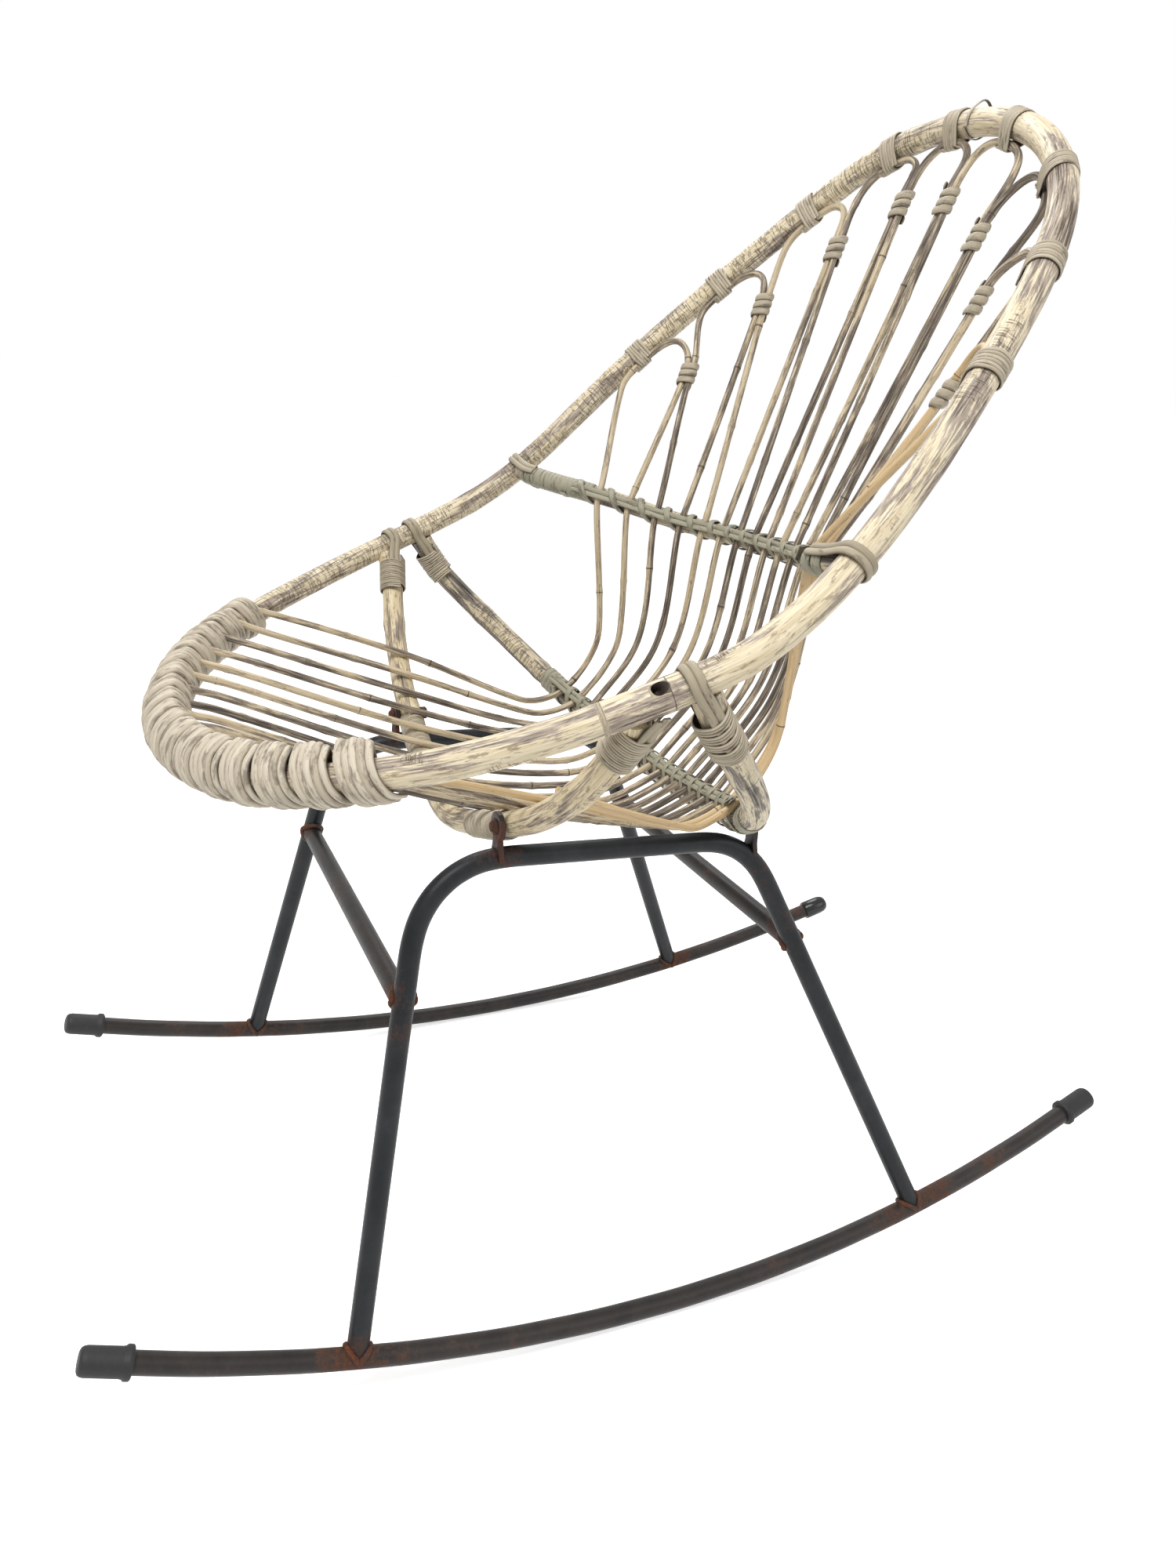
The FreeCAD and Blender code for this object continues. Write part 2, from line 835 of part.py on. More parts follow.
def bar_crossing(stake, side):
    width = side * size("bar_cane_pitch") * pitches_out(stake)
    return cane_crossing(bar, bar_radius, width, OVER_BAR)


def pair_frame(pair, side):
    """A pair binding's middle, the canes' direction in it, and the way from outer to inner cane."""
    across, back, up = PAIR_SHARES[pair - 1]
    middle = Vector(
        side * size("rim_half_width") * across,
        size("bar_back_reach") + (size("rim_back_reach") - size("bar_back_reach")) * back,
        size("bar_low_height") + (size("rim_top_height") - size("bar_low_height")) * up,
    )
    outer = bar_crossing(2 * pair, side)
    inner = bar_crossing(2 * pair + 1, side)
    direction = unit(middle - (outer + inner) * 0.5)
    return middle, direction, square_to(inner - outer, direction)


def through_pair(pair, side, shift_sign):
    """Two points between which a cane runs straight through a pair binding."""
    middle, direction, inwards = pair_frame(pair, side)
    spot = middle + inwards * ((cane_radius + gap / 2) * shift_sign)
    half = direction * (size("pair_pitch") * 2)
    return [spot - half, spot + half]


# A tail's course from its end to where it leaves the binding: the share of the tail's length
# along the rim, the direction from the rim's axis in degrees, and the rise off the rim as a
# share of the cane's radius
TAIL_SHARES = (
    (1, -78, 0),
    (0.46, -77, 0),
    (0.24, -62, 0.15),
    (0.10, -36, 0.7),
    (0.01, -14, 2.2),
    (0, -8, 5),
)


def stake_foot(stake, side):
    """A stake from its tail under the rim's front, over both seat hoops, to the bar."""
    start = side * size("front_cane_pitch") * pitches_out(stake)
    points = []
    for along_share, turn, rise_share in TAIL_SHARES:
        point, _, inwards, up = front_frame(start + size("tail_length") * along_share)
        reach = rim_radius + gap + cane_radius * (1 + rise_share)
        turn = math.radians(turn)
        points.append(point + inwards * (reach * math.cos(turn)) + up * (reach * math.sin(turn)))
    width = side * size("front_hoop_cane_pitch") * pitches_out(stake)
    points.append(cane_crossing(front_hoop, hoop_radius, width, OVER_FRONT_HOOP))
    outness = pitches_out(stake) / pitches_out(1)
    points.append(Vector(
        side * size("seat_dip_cane_pitch") * pitches_out(stake),
        size("seat_dip_reach"),
        size("seat_dip_height") + size("seat_dip_side_rise") * outness ** 1.5,
    ))
    width = side * size("rear_hoop_cane_pitch") * pitches_out(stake)
    points += under_leader(cane_crossing(rear_hoop, hoop_radius, width, OVER_REAR_HOOP), OVER_REAR_HOOP)
    points.append(Vector(
        side * size("low_back_cane_pitch") * pitches_out(stake),
        size("low_back_reach") - size("low_back_side_draw") * outness ** 2,
        size("low_back_height"),
    ))
    return points + under_leader(bar_crossing(stake, side), OVER_BAR)


# A loop's course past its tie: shares of the shoulder's length along the rim from the tie, and
# the rise off the rim as a share of the cane's radius
SHOULDER_SHARES = (
    (-1.3, 1.9),
    (-0.6, 0.05),
    (0, 0),
    (0.6, 0.05),
    (1.15, 1),
    (1.6, 4.2),
)
MIDDLE_SHOULDER_SHARES = (
    (-1.15, 3),
    (-0.5, 0.1),
    (0, 0),
    (0.5, 0.1),
    (1.15, 3),
)


def shoulder_points(tie, shares, side):
    points = []
    for along_share, rise_share in shares:
        point, _, inwards, _ = rim_frame(tie + size("shoulder_length") * along_share)
        points.append(on_side(side, point + inwards * (rim_radius + gap + cane_radius * (1 + rise_share))))
    return points


def loop_points(loop):
    """All points of one cane loop, from one tail to the other."""
    middle_loop = (LOOPS + 1) // 2
    if loop == middle_loop:
        right = stake_foot(STAKES_A_SIDE, -1) + through_pair(middle_loop - 1, -1, 1)
        left = stake_foot(STAKES_A_SIDE, 1) + through_pair(middle_loop - 1, 1, 1)
        return right + shoulder_points(rim_half, MIDDLE_SHOULDER_SHARES, -1) + left[::-1]
    side = -1 if loop < middle_loop else 1
    rank = min(loop, LOOPS + 1 - loop)
    outer = stake_foot(2 * rank - 1, side)
    if rank > 1:
        outer += through_pair(rank - 1, side, 1)
    inner = stake_foot(2 * rank, side) + through_pair(rank, side, -1)
    return outer + shoulder_points(rim_at_width(TIE_SHARES[rank - 1]), SHOULDER_SHARES, side) + inner[::-1]


def build_cane_loops():
    for loop in range(1, LOOPS + 1):
        route = Route(loop_points(loop))
        points = route.points_with_more_at_bends(math.radians(CANE_TURN_STEP), size("shoulder_length"))
        solid_node("loop_cane_%d" % loop, tube_solid(points, cane_radius, CANE_CORNERS, Vector(0, 0, 1)))


# The screw that holds the front hoop's left end, where its strap has come off the rim
arm_screw_spot = rim.point(front_hoop_tie)
arm_screw_out = front_hoop.direction(front_hoop.length)


def arm_pilot(depth):
    pilot_radius = radius("arm_screw_dia") + size("bolt_hole_clearance") / 2
    return bore_cutter(arm_screw_spot + arm_screw_out * rim_radius, arm_screw_out * -1, depth, pilot_radius)


def build_rim():
    """One pole bent to a closed loop, whose two ends meet under the front binding."""
    shape = tube_solid(rim.corners, rim_radius, RIM_CORNERS, Vector(0, 0, 1))
    floor = arm_screw_spot + arm_screw_out * (rim_radius - size("counterbore_depth"))
    shape = shape.cut(bore_cutter(floor, arm_screw_out, rim_radius, radius("counterbore_dia"), 12))
    solid_node("rim_pole", shape.cut(arm_pilot(2 * rim_radius + size("cut_overrun"))))


def mirror_shape(shape):
    return shape.mirror(Vector(), Vector(1, 0, 0))


def trimmed_to_rim(shape, distance):
    """Cuts both ends of a hoop to lie on the rim with the usual gap."""
    after = bisect.bisect(rim.stations, distance)
    near_points = rim.corners[after - 2:after + 2]
    clear_radius = (rim_radius + gap) / math.cos(math.pi / RIM_CORNERS)
    space = tube_solid(near_points, clear_radius, RIM_CORNERS, Vector(0, 0, 1))
    return largest_solid(shape.cut(space).cut(mirror_shape(space)))


def drilled(shape, spot, drill_radius, depth, direction):
    """Cuts a hole along Y into a hoop from its face at both sides."""
    for point in both_sides(spot):
        start = point - direction * (hoop_radius + size("cut_overrun"))
        shape = shape.cut(bore_cutter(start, direction, depth + size("cut_overrun"), drill_radius))
    return shape


# Brackets: the front tabs stand on the hoop's front face, midway between two canes, and the rear
# ones behind the hoop, over its lacing and between two turns of it
TAB_PITCHES_IN = 3
front_bolt_width = size("front_hoop_cane_pitch") * (STAKES_A_SIDE - TAB_PITCHES_IN)
front_bolt_spot = crossing(front_hoop, front_bolt_width, OVER_FRONT_HOOP)[0]
LACING_GAP_SHARE = 0.15
rear_screw_width = size("rear_hoop_cane_pitch") * (STAKES_A_SIDE - TAB_PITCHES_IN + 1 + LACING_GAP_SHARE)
rear_screw_spot = crossing(rear_hoop, rear_screw_width, OVER_REAR_HOOP)[0]
# The lacing's strip stands off the hoop at the folds of its six flats
lacing_fold_rise = (hoop_radius + size("peel_thickness")) / math.cos(math.pi / 6) - hoop_radius
forwards = Vector(0, -1, 0)
backwards = Vector(0, 1, 0)


def tab_seat(route, spot, facing, rest):
    """The place along Y of a tab's inner face, clear of the hoop under the whole of its head."""
    reaches = []
    for offset in (-radius("tab_head_dia"), 0, radius("tab_head_dia")):
        reaches.append(route.point(distance_at_width(route, spot.x + offset)).y * facing)
    return facing * (max(reaches) + rest)


front_tab_seat = tab_seat(front_hoop, front_bolt_spot, -1, hoop_radius + gap)
rear_tab_seat = tab_seat(rear_hoop, rear_screw_spot, 1, hoop_radius + lacing_fold_rise + 2 * gap)


def build_hoops():
    shape = tube_solid(front_hoop.corners, hoop_radius, HOOP_CORNERS, backwards)
    shape = trimmed_to_rim(shape, front_hoop_tie)
    hole_radius = radius("bolt_dia") + size("bolt_hole_clearance") / 2
    shape = drilled(shape, front_bolt_spot, hole_radius, 2 * hoop_radius + size("cut_overrun"), backwards)
    solid_node("front_seat_hoop", shape.cut(arm_pilot(rim_radius + size("arm_screw_length"))))

    shape = tube_solid(rear_hoop.corners, hoop_radius, HOOP_CORNERS, backwards)
    shape = trimmed_to_rim(shape, rear_hoop_tie)
    hole_radius = radius("rear_screw_dia") + size("bolt_hole_clearance") / 2
    depth = size("rear_screw_length") - lacing_fold_rise - size("tab_thickness")
    solid_node("rear_seat_hoop", drilled(shape, rear_screw_spot, hole_radius, depth, forwards))

    shape = tube_solid(bar.corners, bar_radius, HOOP_CORNERS, backwards)
    solid_node("back_bar", trimmed_to_rim(shape, bar_tie))


def leg_top_height(reach):
    """The height up the side frame's plane of the leg hoop where its top run passes a reach."""
    run = leg_places[1:-1]
    for before, after in zip(run, run[1:]):
        if before[0] <= reach <= after[0]:
            share = (reach - before[0]) / (after[0] - before[0])
            return before[1] + (after[1] - before[1]) * share
    return run[-1][1]


def build_bracket(name, side, spot, face_reach, hole):
    """A flat tab: a round head, a neck, and a flared foot seated on the leg hoop."""
    foot = frame_place(side, (face_reach, leg_top_height(face_reach + size("tab_thickness") / 2)))
    middle = side * spot.x
    across_y = Rotation(Vector(1, 0, 0), -90)
    head = doc.addObject("Part::Prism", name + "_head")
    head.Polygon = TAB_CORNERS
    head.setExpression("Circumradius", "Sizes.tab_head_dia / 2")
    head.setExpression("Height", "Sizes.tab_thickness")
    head.Placement = Placement(Vector(middle, face_reach, spot.z), across_y)
    neck = doc.addObject("Part::Box", name + "_neck")
    neck.setExpression("Length", "Sizes.tab_neck_width")
    neck.setExpression("Width", "Sizes.tab_thickness")
    neck.Height = spot.z - foot.z
    neck.Placement = Placement(Vector(middle - size("tab_neck_width") / 2, face_reach, foot.z), Rotation())
    flare = doc.addObject("Part::Wedge", name + "_flare")
    for key, expression in (
        ("Xmin", "-Sizes.tab_foot_width / 2"),
        ("Xmax", "Sizes.tab_foot_width / 2"),
        ("X2min", "-Sizes.tab_neck_width / 2"),
        ("X2max", "Sizes.tab_neck_width / 2"),
        ("Ymax", "Sizes.tube_dia / 2 + Sizes.tab_flare_height"),
        ("Zmax", "Sizes.tab_thickness"),
        ("Z2max", "Sizes.tab_thickness"),
    ):
        flare.setExpression(key, expression)
    flare.Ymin = 0
    flare.Zmin = 0
    flare.Z2min = 0
    flare.Placement = Placement(
        Vector(middle, face_reach + size("tab_thickness"), foot.z), Rotation(Vector(1, 0, 0), 90)
    )
    blank = doc.addObject("Part::MultiFuse", name + "_blank")
    blank.Shapes = [head, neck, flare]
    bolt_hole = doc.addObject("Part::Prism", name + "_hole")
    bolt_hole.Polygon = TAB_CORNERS // 2
    bolt_hole.setExpression("Circumradius", "(%s + Sizes.bolt_hole_clearance) / 2 / cos(22.5)" % hole)
    bolt_hole.setExpression("Height", "Sizes.tab_thickness + 2 * Sizes.cut_overrun")
    bolt_hole.Placement = Placement(Vector(middle, face_reach - size("cut_overrun"), spot.z), across_y)
    tab = doc.addObject("Part::Cut", name + "_drilled")
    tab.Base = blank
    tab.Tool = bolt_hole
    doc.recompute()
    return largest_solid(tab.Shape.cut(legs[side]))


def build_brackets():
    for name, spot, face_reach, hole in (
        ("front", front_bolt_spot, front_tab_seat - size("tab_thickness"), "Sizes.bolt_dia"),
        ("rear", rear_screw_spot, rear_tab_seat, "Sizes.rear_screw_dia"),
    ):
        tabs = []
        for side_name, side in SIDES:
            tabs.append(build_bracket("%s_%s_tab" % (side_name, name), side, spot, face_reach, hole))
        solid_node(name + "_brackets", Part.makeCompound(tabs))


def build_bolts():
    """Front bolts with nuts behind the hoop, and rear screws that end inside the hoop."""
    shank = size("tab_thickness") + size("hoop_dia") + 4 * gap + size("nut_height") + size("bolt_tail")
    bolt = turned_solid((
        (-size("bolt_head_height"), radius("bolt_head_dia") / 2),
        (0, radius("bolt_head_dia")),
        (0, radius("bolt_dia")),
        (shank, radius("bolt_dia")),
    ), SCREW_CORNERS)
    nut = hex_nut()
    head_reach = front_tab_seat - size("tab_thickness") - gap
    spots = both_sides(Vector(front_bolt_spot.x, head_reach, front_bolt_spot.z))
    group_node("front_bracket_bolts", bolt, [aim(spot, backwards) for spot in spots])
    nut_rest = backwards * (hoop_radius + 2 * gap)
    spots = both_sides(front_bolt_spot + nut_rest)
    group_node("front_bracket_nuts", nut.Shape, [aim(spot, backwards) for spot in spots])
    screw = turned_solid((
        (-size("rear_screw_head_height"), radius("rear_screw_head_dia") / 2),
        (0, radius("rear_screw_head_dia")),
        (0, radius("rear_screw_dia")),
        (size("rear_screw_length"), radius("rear_screw_dia")),
    ), SCREW_CORNERS)
    head_reach = rear_tab_seat + size("tab_thickness") + gap
    spots = both_sides(Vector(rear_screw_spot.x, head_reach, rear_screw_spot.z))
    group_node("rear_bracket_screws", screw, [aim(spot, forwards) for spot in spots])


def hex_nut():
    """A hexagon nut with its hole, padded from a sketch."""
    body = doc.addObject("PartDesign::Body", "nut_pattern")
    plane = [feature for feature in body.Origin.OriginFeatures if feature.Role == "XY_Plane"][0]
    sketch = body.newObject("Sketcher::SketchObject", "nut_outline")
    sketch.AttachmentSupport = [(plane, "")]
    sketch.MapMode = "FlatFace"
    corner_radius = size("nut_width") / math.sqrt(3)
    spots = round_section(Vector(), Vector(0, 0, 1), Vector(1, 0, 0), corner_radius, 6)
    for corner in range(6):
        sketch.addGeometry(Part.LineSegment(spots[corner], spots[(corner + 1) % 6]), False)
    for corner in range(6):
        sketch.addConstraint(Sketcher.Constraint("Coincident", corner, 2, (corner + 1) % 6, 1))
    guide = sketch.addGeometry(Part.Circle(Vector(), Vector(0, 0, 1), corner_radius), True)
    sketch.addConstraint(Sketcher.Constraint("Coincident", guide, 3, -1, 1))
    for corner in range(6):
        sketch.addConstraint(Sketcher.Constraint("PointOnObject", corner, 1, guide))
    for corner in range(5):
        sketch.addConstraint(Sketcher.Constraint("Equal", corner, corner + 1))
    sketch.addConstraint(Sketcher.Constraint("PointOnObject", 0, 1, -1))
    number = sketch.addConstraint(Sketcher.Constraint("Radius", guide, corner_radius))
    sketch.setExpression("Constraints[%d]" % number, "Sizes.nut_width / sqrt(3)")
    hole_radius = radius("bolt_dia") + size("bolt_hole_clearance") / 2
    hole = sketch.addGeometry(Part.Circle(Vector(), Vector(0, 0, 1), hole_radius), False)
    sketch.addConstraint(Sketcher.Constraint("Coincident", hole, 3, -1, 1))
    number = sketch.addConstraint(Sketcher.Constraint("Radius", hole, hole_radius))
    sketch.setExpression("Constraints[%d]" % number, "Sizes.bolt_dia / 2 + Sizes.bolt_hole_clearance / 2")
    pad = body.newObject("PartDesign::Pad", "nut_block")
    pad.Profile = sketch
    pad.setExpression("Length", "Sizes.nut_height")
    doc.recompute()
    return body


def build_arm_screw():
    """A pan-headed screw from the left arm's outside into the end of the front hoop."""
    screw = turned_solid((
        (-size("arm_screw_length"), radius("arm_screw_dia")),
        (0, radius("arm_screw_dia")),
        (0, radius("arm_screw_head_dia")),
        (size("arm_screw_head_height"), radius("arm_screw_head_dia") * 2 / 3),
    ), SCREW_CORNERS)
    seat = arm_screw_spot + arm_screw_out * (rim_radius - size("counterbore_depth") + gap)
    group_node("arm_screw", screw, [aim(seat, arm_screw_out)])


# Bindings of peel

def build_front_binding():
    """A wide strip over the front rim and the cane tails, with a cane leaving at each gap."""
    seat = rim_radius + cane_radius + gap
    tail_turn = TAIL_SHARES[0][1]
    tail = (seat * math.cos(math.radians(tail_turn)), seat * math.sin(math.radians(tail_turn)))
    circles = ((0, 0, rim_radius + gap), (tail[0], tail[1], cane_radius + gap))
    turns = 2 * STAKES_A_SIDE
    flats = 8
    pitch = size("front_cane_pitch")
    # The first fold lies this share of a turn past the flat that faces the tails
    start = -pitch * turns / 2 + pitch * tail_turn / -360
    winding_node("front_rim_binding", wound_strip(
        front_frame, lambda distance: circles, start, pitch, turns, size("front_binding_width"),
        evenly_turned(-tail_turn, flats), -1
    ))


def build_rim_ties():
    """Three turns of peel at each loop's shoulder, round the rim and the cane."""
    seat = rim_radius + cane_radius + gap
    circles = ((0, 0, rim_radius + gap), (seat, 0, cane_radius + 2 * gap))
    turns = 3
    half_span = size("tie_pitch") * turns / 2
    left = [rim_at_width(share) for share in TIE_SHARES]
    right = [rim.length - distance for distance in left[:-1]]
    for number, distance in enumerate(right + left[::-1], start=1):
        winding_node("rim_tie_%d" % number, wound_strip(
            rim_frame, lambda distance: circles, distance - half_span, size("tie_pitch"), turns,
            size("tie_width"), evenly_turned(0, 6)
        ))


def build_pair_bindings():
    """Three turns of peel round the two canes of each pair."""
    shift = cane_radius + gap / 2
    circles = ((-shift, 0, cane_radius + gap), (shift, 0, cane_radius + gap))
    turns = 3
    half_span = size("pair_pitch") * turns / 2
    shapes = []
    gaps = []
    for side in (-1, 1):
        for pair in range(1, len(PAIR_SHARES) + 1):
            middle, direction, inwards = pair_frame(pair, side)

            def frame_at(distance):
                return middle + direction * distance, direction, inwards, direction.cross(inwards)

            shape, least = wound_strip(
                frame_at, lambda distance: circles, -half_span, size("pair_pitch"), turns,
                size("pair_peel_width"), evenly_turned(30, 6)
            )
            shapes.append(shape)
            gaps.append(least)
    least_gaps["pair_bindings"] = min(gaps)
    solid_node("pair_bindings", Part.makeCompound(shapes))


# How far past the last place between canes a leader ends, as a share of the canes' pitch
LEADER_END_SHARE = 0.35


def build_lacing(name, route, cane_direction, pole_radius, pitch, turns):
    """A leader strip in front of the canes, and the strip that laces it to the pole between them."""
    def frame_at(width):
        point, along, out = crossing(route, width, cane_direction)
        return point, along, out, along.cross(out)

    peel = size("peel_thickness")
    half_leader = size("leader_width") / 2
    leader_rest = pole_radius + 2 * cane_radius + 4 * gap
    half_span = pitch * (STAKES_A_SIDE + LEADER_END_SHARE)
    between_canes = [pitch * place for place in range(-STAKES_A_SIDE, STAKES_A_SIDE + 1)]
    sections = []
    for width in [-half_span] + between_canes + [half_span]:
        point, _, out, up = frame_at(width)
        base = point + out * leader_rest
        half = up * half_leader
        sections.append([base - half, base + half, base + half + out * peel, base - half + out * peel])
    solid_node(name + "_leader", solid_through(sections))

    pole = (0, 0, pole_radius + gap)
    leader_edges = [(leader_rest + peel, half_leader, gap), (leader_rest + peel, -half_leader, gap)]

    def circles_at(width):
        return [pole] + leader_edges if abs(width) < half_span else [pole]

    winding_node(name + "_lacing", wound_strip(
        frame_at, circles_at, -pitch * turns / 2, pitch, turns, size("lacing_width"), (0, 75, 130, 180, 230, 285)
    ))


def joint_frame(tie, route):
    """At a hoop's left end: the rim's point and direction there, and the way across both poles."""
    rim_direction = rim.direction(tie)
    down = route.direction(route.length) * -1
    sideways = unit(rim_direction.cross(down))
    return rim.point(tie), rim_direction, sideways, square_to(down * -1, rim_direction)


# The directions round the rim, in degrees, at which a strap over it bends
STRAP_TURN_STEP = 34
STRAP_TURNS = tuple(range(-12, 193, STRAP_TURN_STEP))
# Where a strap's tail comes down on the hoop, from the joint, as a share of the rim's radius
LANDING_SHARE = 1.6


def tail_distances(route):
    """Where a strap's tail bends with the hoop under it, as distances from the hoop's end."""
    landing = rim_radius * LANDING_SHARE
    bends = [route.length - station for station in route.stations]
    return [size("strap_tail")] + [bend for bend in bends if landing < bend < size("strap_tail")] + [landing]


def build_strap(tie, route, pole_radius, whole):
    """A strap bent over the rim, its tails lying along a hoop's end; or what is left of one."""
    joint, rim_direction, sideways, lift = joint_frame(tie, route)
    facet = 1 / math.cos(math.radians(STRAP_TURN_STEP / 2))
    bends = []
    for turn in STRAP_TURNS:
        angle = math.radians(turn)
        out = sideways * math.cos(angle) + lift * math.sin(angle)
        over = lift * math.cos(angle) - sideways * math.sin(angle)
        bends.append((joint + out * ((rim_radius + gap) * facet), out, over))
    tails = {}
    for sign in (1, -1):
        spots = []
        for distance in tail_distances(route):
            along = route.direction(route.length - distance)
            out = square_to(sideways * sign, along)
            spots.append((route.point(route.length - distance) + out * (pole_radius + gap), out, along * sign))
        tails[sign] = spots
    if whole:
        course = tails[1] + bends + tails[-1][::-1]
    else:
        course = tails[-1] + [(bends[-1][0], bends[-1][1], bends[-1][2] * -1)]
    sections = []
    for spot, out, along in course:
        half = unit(along.cross(out)) * (size("strap_width") / 2)
        over = out * size("strap_thickness")
        sections.append([spot - half, spot + half, spot + half + over, spot - half + over])
    return solid_through(sections)


def build_wrap(tie, route, pole_radius):
    """Turns of peel round a hoop's end and the strap's tails on it."""
    _, _, sideways, _ = joint_frame(tie, route)

    def frame_at(distance):
        along = route.direction(route.length - distance)
        across = square_to(sideways, along)
        return route.point(route.length - distance), along * -1, across, (along * -1).cross(across)

    strap_top = pole_radius + gap + size("strap_thickness")
    strap_edge = size("strap_width") / 2
    circles = [(0, 0, pole_radius + gap)]
    for across, up in ((1, 1), (1, -1), (-1, 1), (-1, -1)):
        circles.append((across * strap_top, up * strap_edge, gap))
    return wound_strip(
        frame_at, lambda distance: circles, size("wrap_start"), size("wrap_pitch"), 5,
        size("wrap_width"), evenly_turned(0, 6)
    )


def build_straps_and_wraps():
    """A strap over the rim at each end of the hoops and the bar, and wraps over the hoops' ends."""
    for name, route, tie, pole_radius in (
        ("front_hoop", front_hoop, front_hoop_tie, hoop_radius),
        ("rear_hoop", rear_hoop, rear_hoop_tie, hoop_radius),
        ("bar", bar, bar_tie, bar_radius),
    ):
        strap = build_strap(tie, route, pole_radius, True)
        left_strap = strap
        if route is front_hoop:
            left_strap = build_strap(tie, route, pole_radius, False)
        solid_node("left_%s_strap" % name, left_strap)
        solid_node("right_%s_strap" % name, mirror_shape(strap))
        if route is not bar:
            wrap, least = build_wrap(tie, route, pole_radius)
            winding_node("left_%s_wrap" % name, (wrap, least))
            winding_node("right_%s_wrap" % name, (mirror_shape(wrap), least))


def build_loose_curl():
    """A turn of peel that has sprung off the top of the rim beside the middle tie."""
    circles = ((0, 0, rim_radius + gap), (-size("curl_rise"), 0, size("curl_radius")))
    start = rim_half - size("curl_distance")
    shape, _ = wound_strip(
        rim_frame, lambda distance: circles, start, size("curl_width"), 1,
        size("curl_width"), evenly_turned(30, 8)
    )
    solid_node("loose_peel_curl", shape)


# Build everything

build_side_frames()
front_cross = build_cross_tube("front_cross_tube", front_foot, front_corner, size("front_cross_height"))
rear_cross = build_cross_tube("rear_cross_tube", rear_foot, rear_corner, size("rear_cross_height"))
build_weld_beads((front_cross, rear_cross))
build_tip_caps()
build_rim()
build_hoops()
build_brackets()
build_bolts()
build_arm_screw()
build_cane_loops()
build_front_binding()
build_rim_ties()
build_pair_bindings()
build_lacing("bar", bar, OVER_BAR, bar_radius, size("bar_cane_pitch"), 20)
build_lacing("rear_hoop", rear_hoop, OVER_REAR_HOOP, hoop_radius, size("rear_hoop_cane_pitch"), 18)
build_straps_and_wraps()
build_loose_curl()
doc.recompute()

# Faults are found before anything is written
for item in doc.Objects:
    if "Invalid" in item.State or "Error" in item.State:
        raise RuntimeError("%s failed: %s" % (item.Label, item.State))
for node in made:
    if node.Shape.isNull() or not node.Shape.isValid():
        raise RuntimeError("%s has no valid shape" % node.Label)

for label, least in least_gaps.items():
    print("least gap of %s to itself: %.2f mm" % (label, least))

os.makedirs("parts", exist_ok=True)
for node in made:
    node.Shape.exportStep(os.path.join("parts", node.Label + ".step"))
print("wrote %d parts" % len(made))
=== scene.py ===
import bmesh
import bpy
import math
import numpy as np
from mathutils import Matrix, Vector


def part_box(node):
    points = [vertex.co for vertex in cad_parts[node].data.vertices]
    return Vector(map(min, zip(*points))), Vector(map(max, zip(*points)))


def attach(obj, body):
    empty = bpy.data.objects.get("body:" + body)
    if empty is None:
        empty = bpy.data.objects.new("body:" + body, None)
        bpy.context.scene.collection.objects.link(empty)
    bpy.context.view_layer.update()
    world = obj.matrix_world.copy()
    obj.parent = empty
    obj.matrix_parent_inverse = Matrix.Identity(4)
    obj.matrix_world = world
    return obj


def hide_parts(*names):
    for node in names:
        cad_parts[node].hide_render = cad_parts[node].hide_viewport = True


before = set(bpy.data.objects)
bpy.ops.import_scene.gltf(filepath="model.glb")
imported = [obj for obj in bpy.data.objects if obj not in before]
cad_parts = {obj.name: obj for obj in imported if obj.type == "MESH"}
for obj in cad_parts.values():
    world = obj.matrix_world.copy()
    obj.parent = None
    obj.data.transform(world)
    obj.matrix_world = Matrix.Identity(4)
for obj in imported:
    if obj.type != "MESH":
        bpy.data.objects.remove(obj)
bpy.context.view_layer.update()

# A cane bucket rocking chair. Metres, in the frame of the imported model: +Z is up, the chair faces
# -Y and the sitter's left is +X.

# Rockers, leg hoops and cross tubes
# Thin-walled steel tube, bent cold: two rockers, a hoop of legs welded to each, and two tubes
# across. It was enamelled blackish, and rust has come through at the welds and bends.

TUBE_RADIUS = 0.008
TUBE_CORNERS = 10
TUBE_SIDES = 28
FOOT_REACHES = (-0.260, 0.231)
TAB_HALF_WIDTH = 0.01
TAB_WELD_HEIGHT = 0.006
WELD_REACH = 0.006
RUST_REACH = 0.05
SPOTS_PER_METRE = 1e5
SAME_LENGTH = 2e-5


